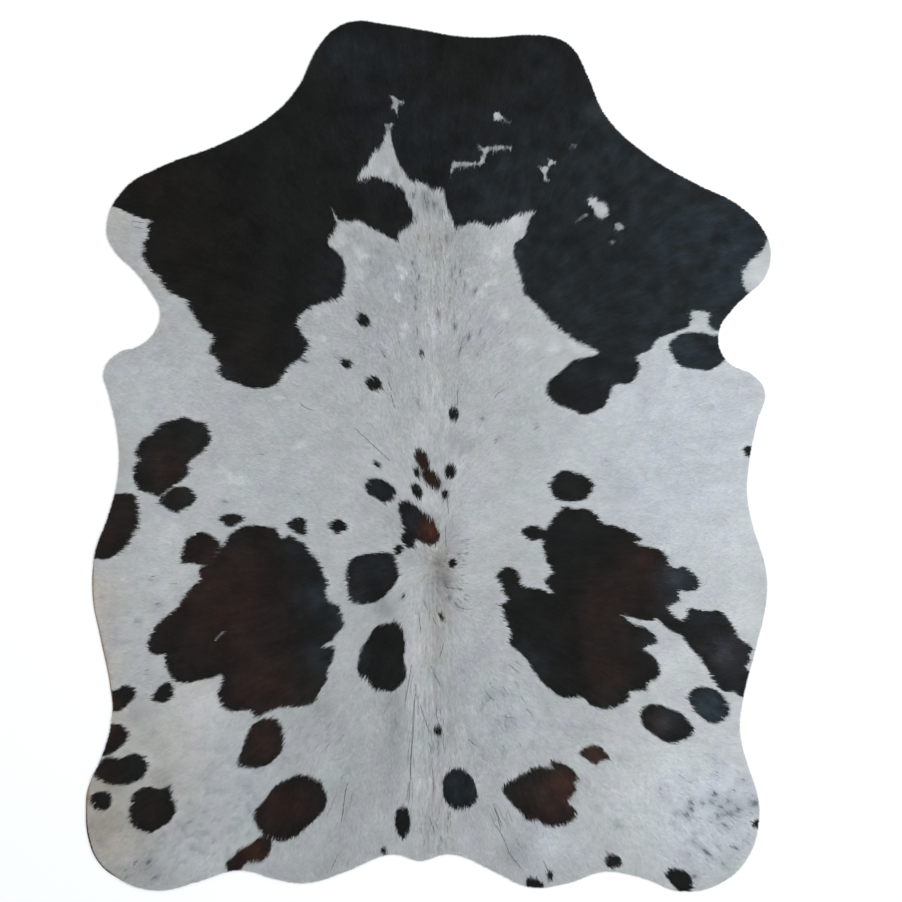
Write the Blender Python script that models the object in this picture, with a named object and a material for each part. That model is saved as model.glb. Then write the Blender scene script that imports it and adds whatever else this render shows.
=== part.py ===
"""A cowhide rug: one whole hide with its hair on, trimmed to a smooth wavy edge, lying flat.

Metres, +Z up. The flesh side lies on z = 0 and the hair side faces up. The origin is on the
underside, below the middle of the hide's outer box. +Y runs along the back towards the neck,
and +X is to the right as the hair side is seen with the neck at the top.
"""

import bpy
import bmesh
from math import cos, exp, radians, sin
from mathutils import Vector

CM = 0.01
MM = 0.001

# Driving sizes of the hide.
HIDE_LENGTH = 209 * CM           # neck to tail
LEATHER_THICKNESS = 2.5 * MM     # the tanned skin, cut square at the edge
COAT_DEPTH = 3.6 * MM            # the hair as it lies on the flanks
BACK_EXTRA_DEPTH = 1.9 * MM      # the longer hair that stands along the back line
BACK_LINE_ACROSS = 1.6 * CM      # the back line lies a little to the right of the middle
BACK_HALF_WIDTH = 4.5 * CM
SWELL_DEPTH = 0.4 * MM           # how much the flanks rise and fall
SWELL_LENGTH = 9 * CM            # from a rise to the level place beside it
EDGE_SEGMENTS = 7                # straight pieces between two landmarks of the edge

# The coat thins out towards the cut edge: each row is a step inward and
# the share of the coat's depth that it reaches there.
RIM_STEPS = (
    # inward, share of depth
    (4 * MM, 0.55),
    (9 * MM, 1.00),
)

# Where the upper face is divided, counted out from the back line to either side.
BACK_COLUMNS_CM = (0, 3, 6, 10, 17, 26, 36, 47, 59, 72)
ROW_PITCH = 9 * CM

# The cut edge, clockwise from the left of the neck. Centimetres to the right of and
# above the middle of the hide, for a hide of the length above.
EDGE_LANDMARKS_CM = (
    # where on the hide, across, up
    ("neck", -17.2, 104.8),
    ("neck", -11.4, 104.1),
    ("neck", -0.8, 102.4),
    ("neck", 5.9, 101.2),
    ("neck", 15.0, 100.8),
    ("neck", 23.9, 101.4),
    ("neck", 30.8, 100.6),
    ("neck right corner", 34.5, 98.2),
    ("neck right side", 38.0, 91.7),
    ("neck right side", 42.4, 82.0),
    ("neck right side", 51.8, 73.0),
    ("right shoulder", 64.0, 65.7),
    ("right shoulder", 74.3, 60.5),
    ("right foreleg", 80.6, 54.0),
    ("right foreleg", 82.0, 48.1),
    ("right foreleg", 80.3, 42.8),
    ("right armpit", 76.7, 39.4),
    ("right armpit", 72.9, 35.7),
    ("right armpit", 69.5, 29.9),
    ("right armpit", 71.6, 22.9),
    ("right flank tip", 77.6, 19.8),
    ("right flank tip", 80.6, 15.9),
    ("right flank", 78.8, 8.8),
    ("right flank", 76.6, -3.0),
    ("right flank", 76.4, -9.7),
    ("right flank", 77.7, -16.4),
    ("right belly", 80.8, -26.8),
    ("right belly", 81.0, -34.0),
    ("right belly", 78.6, -45.2),
    ("right stifle", 75.4, -58.0),
    ("right stifle", 74.6, -65.9),
    ("right hind leg", 76.5, -74.0),
    ("right hind leg", 78.9, -81.5),
    ("right hind leg", 79.1, -88.0),
    ("right hind leg", 76.3, -96.4),
    ("right hind corner", 69.9, -102.2),
    ("right hind corner", 60.6, -104.1),
    ("tail end", 51.5, -100.9),
    ("tail end", 42.1, -99.4),
    ("tail end", 33.5, -102.1),
    ("tail end", 24.4, -103.1),
    ("tail end", 16.1, -99.5),
    ("tail end", 7.6, -95.6),
    ("tail end", 4.0, -95.2),
    ("tail end", -2.3, -96.8),
    ("tail end", -6.6, -95.5),
    ("tail end", -9.7, -95.3),
    ("tail end", -19.6, -99.2),
    ("tail end", -29.4, -102.1),
    ("tail end", -37.9, -100.9),
    ("tail end", -42.2, -99.5),
    ("tail end", -46.7, -99.1),
    ("left hind corner", -55.8, -101.9),
    ("left hind corner", -65.7, -103.9),
    ("left hind corner", -75.2, -100.8),
    ("left hind leg", -79.4, -97.2),
    ("left hind leg", -81.8, -91.6),
    ("left hind leg", -82.4, -84.5),
    ("left hind leg", -82.0, -79.8),
    ("left hind leg", -78.8, -72.8),
    ("left stifle", -76.1, -62.8),
    ("left stifle", -76.6, -54.8),
    ("left belly", -78.9, -43.4),
    ("left belly", -80.8, -33.0),
    ("left belly", -80.2, -23.4),
    ("left flank", -76.6, -13.1),
    ("left flank", -74.5, -4.1),
    ("left flank", -74.7, 5.6),
    ("left flank", -76.8, 15.3),
    ("left flank tip", -78.0, 20.6),
    ("left flank tip", -74.0, 25.3),
    ("left armpit", -70.6, 26.2),
    ("left armpit", -67.2, 28.3),
    ("left armpit", -64.4, 34.4),
    ("left armpit", -67.5, 41.0),
    ("left foreleg", -71.6, 45.9),
    ("left foreleg", -74.6, 48.6),
    ("left foreleg", -77.3, 54.4),
    ("left foreleg", -73.4, 64.1),
    ("left shoulder", -64.8, 69.5),
    ("left shoulder", -49.4, 75.4),
    ("neck left side", -37.9, 81.9),
    ("neck left side", -31.3, 88.9),
    ("neck left corner", -26.8, 98.0),
    ("neck left corner", -22.2, 103.1),
)


def hide_material():
    material = bpy.data.materials.new("cowhide_hair")
    material.use_nodes = True
    shader = material.node_tree.nodes["Principled BSDF"]
    shader.inputs["Base Color"].default_value = (0.46, 0.50, 0.52, 1.0)
    shader.inputs["Roughness"].default_value = 0.75
    shader.inputs["Metallic"].default_value = 0.0
    return material


def edge_curve():
    """The cut edge as a closed, smooth, flat curve through its landmarks."""
    data = bpy.data.curves.new("hide_edge", "CURVE")
    data.dimensions = "2D"
    data.fill_mode = "NONE"
    data.resolution_u = EDGE_SEGMENTS
    spline = data.splines.new("BEZIER")
    spline.use_cyclic_u = True
    spline.bezier_points.add(len(EDGE_LANDMARKS_CM) - 1)
    for point, (_, across, up) in zip(spline.bezier_points, EDGE_LANDMARKS_CM):
        point.co = (across * CM, up * CM, 0.0)
        point.handle_left_type = "AUTO"
        point.handle_right_type = "AUTO"
    return data


def edge_mesh():
    """The edge curve turned into a loop of straight mesh edges."""
    guide = bpy.data.objects.new("hide_edge", edge_curve())
    bpy.context.scene.collection.objects.link(guide)
    depsgraph = bpy.context.evaluated_depsgraph_get()
    mesh = bpy.data.meshes.new_from_object(guide.evaluated_get(depsgraph))
    curve = guide.data
    bpy.data.objects.remove(guide)
    bpy.data.curves.remove(curve)
    return mesh


def fit_to_length(bm):
    """Centre the outline on the origin and bring it to the hide's length."""
    across = [vert.co.x for vert in bm.verts]
    up = [vert.co.y for vert in bm.verts]
    middle = Vector(((min(across) + max(across)) / 2, (min(up) + max(up)) / 2, 0.0))
    scale = HIDE_LENGTH / (max(up) - min(up))
    for vert in bm.verts:
        vert.co = (vert.co - middle) * scale


def coat_depth(place):
    """Depth of the lying hair: deeper along the back, with a slow rise and fall on the flanks."""
    off_back = (place.x - BACK_LINE_ACROSS) / BACK_HALF_WIDTH
    ridge = BACK_EXTRA_DEPTH * exp(-off_back * off_back)
    swell = SWELL_DEPTH * sin(place.x / SWELL_LENGTH) * cos(place.y / SWELL_LENGTH)
    return COAT_DEPTH + ridge + swell


def raise_skin(bm):
    """Raise the outline face to the leather's thickness and return its upper face."""
    face = bmesh.ops.contextual_create(bm, geom=bm.edges[:])["faces"][0]
    grown = bmesh.ops.extrude_face_region(bm, geom=[face])["geom"]
    risen = [item for item in grown if isinstance(item, bmesh.types.BMVert)]
    bmesh.ops.translate(bm, verts=risen, vec=(0.0, 0.0, LEATHER_THICKNESS))
    return next(item for item in grown if isinstance(item, bmesh.types.BMFace))


def round_rim(bm, upper):
    """Step inwards from the cut edge and raise each step by its share of the coat."""
    for inward, share in RIM_STEPS:
        bmesh.ops.inset_region(bm, faces=[upper], thickness=inward,
                               use_boundary=True, use_even_offset=True)
        for vert in upper.verts:
            vert.co.z = LEATHER_THICKNESS + share * coat_depth(vert.co)


def divide(bm, faces, place, normal):
    """Cut the given faces along an upright plane and return the faces that result."""
    edges = {edge for face in faces for edge in face.edges}
    verts = {vert for face in faces for vert in face.verts}
    geometry = list(faces) + list(edges) + list(verts)
    cut = bmesh.ops.bisect_plane(bm, geom=geometry, dist=0.1 * MM, plane_co=place, plane_no=normal)
    return [item for item in cut["geom"] if isinstance(item, bmesh.types.BMFace)]


def spread_coat(bm, upper):
    """Divide the upper face into columns and rows, and lift them to the coat's depth."""
    faces = [upper]
    columns = {side * column * CM for column in BACK_COLUMNS_CM for side in (-1, 1)}
    for column in sorted(columns):
        faces = divide(bm, faces, (BACK_LINE_ACROSS + column, 0, 0), (1, 0, 0))
    rows = int(HIDE_LENGTH / 2 / ROW_PITCH)
    for row in range(-rows, rows + 1):
        faces = divide(bm, faces, (0, row * ROW_PITCH, 0), (0, 1, 0))
    for vert in {vert for face in faces for vert in face.verts}:
        vert.co.z = LEATHER_THICKNESS + coat_depth(vert.co)


def build_hide(collection):
    mesh = edge_mesh()
    bm = bmesh.new()
    bm.from_mesh(mesh)
    fit_to_length(bm)
    upper = raise_skin(bm)
    round_rim(bm, upper)
    spread_coat(bm, upper)
    bmesh.ops.recalc_face_normals(bm, faces=bm.faces)
    bm.to_mesh(mesh)
    bm.free()
    mesh.name = "hide"
    mesh.shade_smooth()
    mesh.set_sharp_from_angle(angle=radians(40))
    mesh.materials.append(hide_material())
    hide = bpy.data.objects.new("hide", mesh)
    collection.objects.link(hide)
    return hide


def main():
    for item in list(bpy.data.objects):
        bpy.data.objects.remove(item, do_unlink=True)
    collection = bpy.data.collections.new("cowhide_rug")
    bpy.context.scene.collection.children.link(collection)
    build_hide(collection)


main()
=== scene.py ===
import math

import bmesh
import bpy
import numpy as np
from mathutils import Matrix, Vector
from mathutils.geometry import delaunay_2d_cdt


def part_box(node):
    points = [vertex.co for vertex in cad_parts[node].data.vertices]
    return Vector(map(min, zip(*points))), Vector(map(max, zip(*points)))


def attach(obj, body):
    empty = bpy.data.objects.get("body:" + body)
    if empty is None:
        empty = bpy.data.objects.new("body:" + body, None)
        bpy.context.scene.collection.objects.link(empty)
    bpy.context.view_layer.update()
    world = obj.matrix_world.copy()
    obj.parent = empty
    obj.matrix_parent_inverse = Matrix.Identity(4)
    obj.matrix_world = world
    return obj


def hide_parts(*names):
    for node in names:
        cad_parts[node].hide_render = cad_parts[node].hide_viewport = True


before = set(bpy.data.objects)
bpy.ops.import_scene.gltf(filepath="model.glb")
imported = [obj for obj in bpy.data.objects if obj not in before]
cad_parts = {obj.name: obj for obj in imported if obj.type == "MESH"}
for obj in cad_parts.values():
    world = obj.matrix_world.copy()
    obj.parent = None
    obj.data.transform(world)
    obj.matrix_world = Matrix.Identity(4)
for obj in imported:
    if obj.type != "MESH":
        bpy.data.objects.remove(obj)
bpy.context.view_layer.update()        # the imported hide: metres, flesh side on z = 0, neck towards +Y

mm = 0.001
cm = 0.01
hideLow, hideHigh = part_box("hide")
backLine = {
    "across": 1.6 * cm,      # it lies this far to the right of the middle
    "halfWidth": 4.5 * cm,   # of the longer hair along it
    "withers": 66 * cm,      # where it begins
    "fade": 8 * cm,          # over which it grows to its full length
}

# in what follows, places are (n, 2) arrays of metres across and up


def readCutEdge(node):
    # the loop of floor edges that only one floor face uses, anticlockwise from above
    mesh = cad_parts[node].data
    places = np.array([vert.co for vert in mesh.vertices]).round(6)
    used = set()
    for face in mesh.polygons:
        corners = [tuple(places[i]) for i in face.vertices]
        if all(corner[2] == 0 for corner in corners):
            used.update(zip(corners, corners[1:] + corners[:1]))
    after = {start: end for start, end in used if (end, start) not in used}
    loop = [max(after)]
    while after[loop[-1]] != loop[0]:
        loop.append(after[loop[-1]])
    loop = np.array(loop)[:, :2]
    x, y = loop.T
    turn = (x * np.roll(y, -1) - y * np.roll(x, -1)).sum()
    return loop if turn > 0 else loop[::-1]


def evenLoop(loop, step):
    # the same loop with points about a step apart
    closed = np.vstack([loop, loop[:1]])
    gone = np.concatenate([[0], np.cumsum(np.hypot(*np.diff(closed, axis=0).T))])
    marks = np.linspace(0, gone[-1], int(gone[-1] / step), endpoint=False)
    return np.stack([np.interp(marks, gone, closed[:, 0]), np.interp(marks, gone, closed[:, 1])], 1)


def smoothLoop(landmarks, steps=3):
    # a closed smooth curve through landmarks in centimetres
    here = np.array(landmarks) * cm
    before, after, beyond = (np.roll(here, shift, 0) for shift in (1, -1, -2))
    rows = []
    for t in np.arange(steps) / steps:
        rows.append(0.5 * (2 * here + (after - before) * t
                           + (2 * before - 5 * here + 4 * after - beyond) * t ** 2
                           + (3 * here - before - 3 * after + beyond) * t ** 3))
    return np.stack(rows, 1).reshape(-1, 2)


def insideBy(places, loop, reach):
    # how far inside a closed loop each place lies: negative outside, cut off at -reach
    pairsAtOnce = 1500000
    found = np.full(len(places), -reach)
    low, high = loop.min(0) - reach, loop.max(0) + reach
    near = np.flatnonzero(((places > low) & (places < high)).all(1))
    start, side = loop, np.roll(loop, -1, 0) - loop
    end = start + side
    long2 = np.maximum((side * side).sum(1), 1e-12)
    for part in np.array_split(near, max(1, len(near) * len(loop) // pairsAtOnce)):
        px, py = places[part, 0, None], places[part, 1, None]
        ax, ay = px - start[:, 0], py - start[:, 1]
        t = np.clip((ax * side[:, 0] + ay * side[:, 1]) / long2, 0, 1)
        off = np.sqrt(((ax - t * side[:, 0]) ** 2 + (ay - t * side[:, 1]) ** 2).min(1))
        spans = (start[:, 1] > py) != (end[:, 1] > py)
        rise = np.where(side[:, 1] == 0, 1e-12, side[:, 1])
        crossed = spans & (ax < side[:, 0] * ay / rise)
        found[part] = np.maximum(np.where(crossed.sum(1) % 2 == 1, off, -off), -reach)
    return found


def between(table, cell, part):
    # values between the points of a lattice, at the part of the way into each cell
    (i, j), (i1, j1) = (cell % table.shape).T, ((cell + 1) % table.shape).T
    low = table[i, j] * (1 - part[:, 0]) + table[i1, j] * part[:, 0]
    high = table[i, j1] * (1 - part[:, 0]) + table[i1, j1] * part[:, 0]
    return low * (1 - part[:, 1]) + high * part[:, 1]


def softNoise(places, size, seed, octaves=1):
    # smooth noise from 0 to 1, about a size from one rise to the next
    cells, shift = 256, 60.3
    total, weight = np.zeros(len(places)), 0
    for octave in range(octaves):
        lattice = np.random.default_rng(seed + octave).random((cells, cells))
        at = places / (size / 2 ** octave) + shift
        cell = np.floor(at).astype(int)
        part = at - cell
        total += between(lattice, cell, part * part * (3 - 2 * part)) / 2 ** octave
        weight += 1 / 2 ** octave
    return total / weight


def blobs(places, rows, edge=1):
    # the sum of round blobs, rows of across, up, radius (cm) and strength; a higher edge is crisper
    total = np.zeros(len(places))
    for across, up, radius, strength in rows:
        gap2 = ((places - (across * cm, up * cm)) ** 2).sum(1) / (radius * cm) ** 2
        total += strength * np.exp(-gap2 ** edge)
    return total


def band(places, rows):
    # a long band up the hide, from rows of height, across, half width (cm) and strength
    up, *columns = np.array(sorted(rows)).T
    across, half, strength = (np.interp(places[:, 1] / cm, up, column) for column in columns)
    return strength * np.exp(-((places[:, 0] / cm - across) / half) ** 2)


def linear(red, green, blue):
    # a colour given in screen values, 0 to 255, as linear light
    share = np.array((red, green, blue)) / 255
    return np.where(share <= 0.04045, share / 12.92, ((share + 0.055) / 1.055) ** 2.4)


cutEdge = readCutEdge("hide")


class EdgeMap:
    # how far each place lies inside the cut edge, looked up on a fine lattice
    def __init__(self, loop, step, reach):
        margin = 3
        self.low, self.step = loop.min(0) - margin * step, step
        counts = np.ceil((loop.max(0) - self.low) / step).astype(int) + margin + 1
        grid = np.stack(np.meshgrid(*(np.arange(count) for count in counts), indexing="ij"), -1)
        corners = self.low + grid.reshape(-1, 2) * step
        self.table = insideBy(corners, loop, reach).reshape(counts)

    def __call__(self, places):
        at = np.clip((places - self.low) / self.step, 0, np.array(self.table.shape) - 1.001)
        cell = at.astype(int)
        return between(self.table, cell, at - cell)


insideEdge = EdgeMap(cutEdge, 6 * mm, 6 * cm)
print("cut edge read:", len(cutEdge), "points")


# the dark patches: landmarks on their borders, cm across and up from the middle
patches = {
    "neckAndShoulders": (
        (-75.4, 59.8), (-72, 58.3), (-68.6, 56.9), (-66.7, 56.6), (-67.4, 55.4), (-67.2, 53.5),
        (-68.4, 51.1), (-68.2, 49.7), (-68.6, 48), (-67.4, 45.8), (-66.5, 44.2), (-64.8, 43),
        (-63.8, 41.3), (-62.6, 39.8), (-60, 38.2), (-58.1, 37.7), (-57.8, 36.2), (-56.2, 33.8), (-54, 30),
        (-51.8, 28.8), (-52.1, 26.6), (-52.8, 25), (-51.1, 23.5), (-49.9, 21.8), (-50.6, 20.4),
        (-48.5, 18.2), (-45.4, 17.3), (-41.5, 16.1), (-37.7, 16.6), (-35.5, 18.2), (-34.1, 20.4),
        (-33.1, 21.8), (-31, 23), (-29.3, 25), (-28.6, 27.1), (-30.2, 29.3), (-31.4, 31.4), (-31, 33.4),
        (-29.6, 34.8), (-27.1, 36.2), (-23.8, 37.2), (-21.1, 38.2), (-20.2, 40.1), (-19.9, 43.4),
        (-20.2, 46.6), (-21.8, 49), (-24, 51.1), (-22.6, 53.8), (-21.4, 56.2), (-20.4, 56.4),
        (-18.5, 56.2), (-16.6, 56.4), (-14.2, 55), (-11.5, 53.5), (-9.1, 52.3), (-7.4, 51.8), (-7, 53.5),
        (-5.3, 54.5), (-3.8, 56.2), (-3.8, 58.8), (-5.1, 61.4), (-5.8, 63.9), (-8.1, 65.3), (-10.6, 66.5),
        (-13.2, 67.1), (-15.6, 66.4), (-17, 66), (-16.1, 68.4), (-14.2, 70.3), (-13.4, 72.5),
        (-11.3, 74.6), (-10.3, 76.6), (-9.7, 78.4), (-9, 78.5), (-8.9, 76.4), (-8.2, 73.4), (-7.2, 70.8),
        (-5.5, 67.9), (-4.1, 66), (-1.2, 65.5), (1.2, 63.8), (3.8, 64.1), (4.1, 61.9), (4.8, 59.3),
        (6, 56.6), (6.5, 54.7), (8.9, 55.4), (11.8, 56.2), (13.9, 55), (16.3, 55.4), (18.5, 56.4),
        (20.4, 57.4), (22.8, 58.3), (25.7, 58.8), (24.7, 57.4), (23.8, 55), (23.3, 53), (20.9, 50.9),
        (20.4, 48.7), (20.9, 47), (21.8, 44.2), (22.8, 41), (23, 39.1), (25, 37.4), (27.8, 34.3),
        (30.7, 31.4), (34.8, 28.1), (39.6, 25.9), (40.8, 24.5), (38.6, 23.8), (34.8, 23), (33.4, 21.6),
        (31.4, 19.9), (29.3, 18), (28.5, 16.6), (28.8, 14.7), (31.4, 12), (34.3, 11.3), (37.4, 9.8),
        (40.1, 10.6), (42.6, 12.2), (43.7, 14.9), (44.9, 17.2), (48.4, 17.4), (50.2, 19.4), (50.9, 21.8),
        (50.1, 23.7), (51.8, 24.7), (53.8, 25.9), (54.7, 27.8), (57.4, 29), (59.8, 30), (62.4, 31),
        (63.4, 32.6), (63.1, 34.6), (65.3, 34.8), (67.4, 34.3), (67.2, 32.6), (67.9, 31), (69.8, 30),
        (77, 30), (79, 37), (76.1, 40.3), (75.6, 43.7), (77.5, 47), (80.2, 49.2), (84, 56), (92, 60),
        (92, 112), (-92, 112), (-92, 64)),
    "rightArmpit": (
        (57.6, 26.6), (59.5, 28.6), (61.7, 29.5), (65.3, 29.8), (67.9, 29), (70, 28.9), (71, 26.3),
        (71.8, 24), (70, 21.9), (67.2, 20.6), (64.3, 20.9), (61.4, 21.4), (59.8, 22.3), (58.8, 24.2)),
    "leftHip": (
        (-48.5, -19.7), (-46.8, -18.2), (-44.4, -17), (-42.2, -16.6), (-38.6, -17), (-36.2, -17.5),
        (-35.3, -19.9), (-33.8, -19.2), (-32.9, -19), (-31.4, -20.2), (-29.8, -20.9), (-28.6, -22.8),
        (-26.6, -25), (-25.7, -26.6), (-25, -28.8), (-24.2, -31), (-24.7, -32.9), (-23.8, -34.8),
        (-21.4, -36.2), (-20.9, -38.4), (-20.2, -40.6), (-21.4, -42.2), (-23.3, -44.4), (-25.2, -45.8),
        (-22.3, -46.1), (-23, -49), (-24.2, -51.8), (-24.2, -53.8), (-25.7, -55.9), (-26.9, -58.3),
        (-28.3, -59.7), (-32.4, -60.3), (-36.2, -60.5), (-39.4, -61.9), (-40.3, -62.9), (-41.3, -62.6),
        (-43, -61), (-46.8, -61.4), (-49.2, -60.2), (-50.6, -57.1), (-49.7, -55.2), (-49.7, -52.6),
        (-52.8, -53.5), (-55.9, -54.2), (-59, -54.5), (-61.4, -53.5), (-63.1, -50), (-63.3, -47.6),
        (-65.9, -47.7), (-67.4, -45.8), (-66.5, -42.5), (-63.8, -39.1), (-60.2, -36.2), (-58.3, -33.1),
        (-56.2, -30.9), (-54.8, -29.8), (-55, -27.2), (-52.8, -25.4), (-49.4, -21.6)),
    "rightHip": (
        (33.4, -12), (34.6, -12.7), (38.2, -12.7), (40.1, -13.7), (42.2, -16.3), (44.4, -16.6),
        (47.8, -17.8), (51.4, -19.9), (50.2, -20.9), (52.6, -21.8), (55.4, -22.3), (57.4, -24),
        (58.1, -26.2), (59.5, -26.9), (61.7, -26.6), (63.6, -28.1), (65.3, -30), (65, -31.7),
        (63.4, -32.4), (61.7, -32.4), (60.5, -32.2), (60.2, -33.8), (60.5, -34.8), (58.3, -36),
        (57.8, -36.7), (58.8, -37.9), (60.5, -39.4), (61.7, -39.1), (62.4, -37.7), (62.6, -36.5),
        (64.3, -36.7), (67, -37.2), (70.1, -37.2), (72, -39.1), (73.9, -42), (74.9, -43.9), (78, -46.1),
        (77, -48), (77.5, -49.2), (76.1, -50.6), (77.4, -52.1), (79, -57.6), (75.4, -57.8), (73.2, -56.6),
        (71, -56.4), (68.4, -53.8), (67.4, -51.6), (65, -48.2), (62.4, -45.4), (61.2, -43.4),
        (59.5, -42.5), (57.4, -41.3), (55.7, -39.6), (54.5, -38.9), (54, -39.6), (50.9, -39.4),
        (49.2, -38.6), (47, -38.4), (49.2, -40.3), (51.6, -41), (53.8, -42.2), (55, -43.9), (54.7, -45.1),
        (51.8, -46.1), (54, -48), (55.7, -50.9), (55.4, -53), (53, -54.5), (52.1, -56.4), (49, -56.4),
        (48, -58.6), (46.1, -59.8), (43.9, -60.7), (41.3, -60.7), (38.9, -59.8), (37.4, -58.1),
        (34.8, -58.2), (32.3, -57.9), (29.4, -56.2), (26.5, -53.3), (25.2, -51.2), (22.9, -47.9),
        (20.4, -45.8), (19.4, -44.2), (19.9, -42.5), (19, -40.3), (18, -36.7), (17.3, -35.8),
        (19.2, -34.8), (18.2, -32.6), (17.5, -30.5), (16.3, -29), (17.3, -27.6), (19, -26.6),
        (20.9, -27.1), (22.1, -29), (22.3, -30.7), (25.2, -31.7), (27.1, -31.9), (30, -33.1), (28.6, -31),
        (27.8, -29.8), (30, -28.1), (28.6, -25.7), (27.8, -23.3), (27.8, -20.9), (27.1, -19.9),
        (25.2, -20.4), (23.3, -19.4), (22.3, -18.2), (23.8, -17), (25.2, -16.6), (26.9, -17), (28.1, -18),
        (29.8, -15.4), (31.7, -13.2)),
    "leftFlankUpper": (
        (-70.3, 1.2), (-68.8, 3.8), (-65.8, 5.8), (-64.3, 7.7), (-61.2, 8.6), (-58.6, 9.4), (-56.2, 8.4),
        (-53.7, 7.9), (-52.8, 6.5), (-52.1, 4.1), (-53.5, 1.7), (-55.2, 0), (-57.1, -1.2), (-57.6, -3.8),
        (-58.6, -5.8), (-61.2, -7), (-63.4, -8.9), (-64.8, -9.8), (-66.7, -8.9), (-69.1, -8.4),
        (-70.6, -5.8), (-70.7, -2.7), (-69.9, -1.5), (-69.2, -0.7), (-70.3, 0)),
    "leftFlankMiddle": (
        (-64.7, -11.3), (-63.5, -9.4), (-61.4, -7.7), (-59.3, -7.2), (-57.1, -7.9), (-55.7, -9.8),
        (-56.6, -11.8), (-58.6, -12.7), (-60.2, -13.7), (-61.9, -13.2), (-63.1, -12.2)),
    "leftEdge": (
        (-74.9, -9.1), (-71.5, -8.9), (-70.1, -9.8), (-69.6, -12.2), (-69.6, -16.1), (-70.6, -18.5),
        (-72, -21.1), (-73.9, -23), (-75.8, -24.2), (-79.2, -24.7), (-86, -22), (-84, -10)),
    "besideLeftHip": (
        (-59.3, -25.7), (-59.1, -22.8), (-58.3, -20.4), (-56.6, -19), (-54.5, -18.2), (-52.3, -19),
        (-50.6, -20.2), (-49.9, -21.8), (-50.9, -24), (-52.6, -25.7), (-54.5, -26.2), (-56.6, -25.7)),
    "aboveLeftHip": (
        (-50.2, -14.9), (-47.3, -13.7), (-44.2, -14.9), (-45.4, -16.3), (-47.3, -17), (-49.2, -16.3)),
    "aboveLeftHipRight": (
        (-34.3, -16.3), (-32.9, -15.6), (-31.4, -14.6), (-29.8, -15.1), (-29, -17), (-29.5, -19),
        (-30.7, -19), (-32.4, -18)),
    "leftOfBack": (
        (-24, -16.6), (-23, -15.6), (-21.4, -15.1), (-19.2, -17), (-20.4, -18), (-22.1, -18.5)),
    "leftStifle": (
        (-66.5, -58.4), (-65.3, -56.2), (-62.6, -54.2), (-61, -55.9), (-61.7, -58.1), (-63.8, -59.3)),
    "leftStifleEdge": (
        (-75.1, -56.2), (-73, -55), (-70.3, -55.9), (-70.8, -58.3), (-73, -60.5), (-75.2, -61.4),
        (-80, -60), (-80, -57)),
    "leftHindEdge": (
        (-75.1, -64.3), (-73.4, -64.8), (-71.8, -67), (-73.9, -69.8), (-76.8, -71.8), (-83, -72),
        (-82, -65)),
    "leftHindUpper": (
        (-79.6, -77.7), (-79.8, -75), (-77.5, -72.5), (-73.7, -72.5), (-70.6, -71.3), (-68.2, -72.5),
        (-67.4, -75.1), (-69.8, -78.1), (-74.4, -79.1)),
    "leftHindSmall": (
        (-81.2, -82.3), (-80.2, -81), (-78.4, -80.5), (-76.6, -80.7), (-75.8, -82.2), (-76.3, -84),
        (-77.6, -85.1), (-79.9, -84.8)),
    "leftHindRound": (
        (-71.5, -83.5), (-70.6, -80.9), (-67.4, -79.4), (-64.1, -80), (-61.9, -79.2), (-61.4, -81.6),
        (-60.5, -84.7), (-61.9, -87.6), (-64.6, -89.5), (-67.4, -90.5), (-70.6, -89), (-71.8, -86.4)),
    "belowLeftHip": (
        (-45.9, -74.2), (-44.7, -70.6), (-43.3, -66.4), (-41.3, -63.8), (-36.2, -63.1), (-34.6, -68.2),
        (-35.8, -71.8), (-39.4, -74.6), (-43, -74.9)),
    "leftRump": (
        (-42, -86.2), (-39.2, -82.5), (-36.8, -79.3), (-33.4, -77.4), (-30.5, -76.6), (-26.7, -77.8),
        (-24.4, -81.2), (-25.1, -85.2), (-29.8, -89.7), (-33.6, -92.4), (-39.2, -91.3)),
    "leftTailEdge": (
        (-48.5, -98.6), (-48.3, -97.4), (-45.4, -94.8), (-42.2, -92.9), (-39.8, -91.2), (-37.5, -92),
        (-37.8, -94.9), (-39.2, -96.9), (-41.8, -97.6), (-43.9, -97.9), (-45.6, -100.1), (-47.4, -101)),
    "backDrop": (
        (-7.2, -11.6), (-6.6, -10.8), (-5.3, -10.7), (-3.7, -11.3), (-1.6, -13.2), (0.8, -14.6),
        (2.1, -16.4), (2.8, -18.6), (2.6, -20.1), (1.1, -21.3), (-0.4, -21), (-2.7, -20.2), (-3.7, -22),
        (-5, -22), (-6.3, -20.6), (-6.6, -19.3), (-6, -17.8), (-6.7, -14.8)),
    "leftOfBackSlant": (
        (-15.2, -7.2), (-14.6, -5.9), (-13.4, -5.3), (-10.7, -5.7), (-9.1, -6.7), (-7.1, -8.9),
        (-8.1, -9.3), (-8.4, -10.3), (-9.6, -10.9), (-10.9, -11.1), (-12.2, -10.3), (-14, -9.3),
        (-15, -8.3)),
    "besideWhorl": (
        (-19.4, -25.9), (-17, -24), (-13.2, -23.3), (-9.2, -23.3), (-7.8, -24.9), (-7, -28.1),
        (-7.4, -30), (-8.9, -31.9), (-10.6, -33.8), (-13.4, -35.3), (-18.2, -35.3), (-19.2, -32.4),
        (-19.7, -29.8)),
    "leftOfTailLine": (
        (-16.1, -46.3), (-14.6, -44.2), (-12.7, -41), (-9.4, -40.1), (-7.4, -40.1), (-6, -42),
        (-5.5, -45.1), (-5.8, -49), (-5.3, -50.6), (-5.5, -53.5), (-7, -55.4), (-8.9, -56.6),
        (-12.7, -56.2), (-14.6, -54), (-16.3, -53), (-17, -50.6)),
    "rightOfTailLine": (
        (3.6, -77.8), (4.6, -76.1), (6.7, -74.9), (8.6, -75.6), (10.6, -77), (11.5, -79.4), (12, -82.3),
        (10.3, -84.2), (7.7, -85), (5.8, -84.5), (4.1, -82.8), (3.6, -80.9)),
    "nearTail": (
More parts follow.
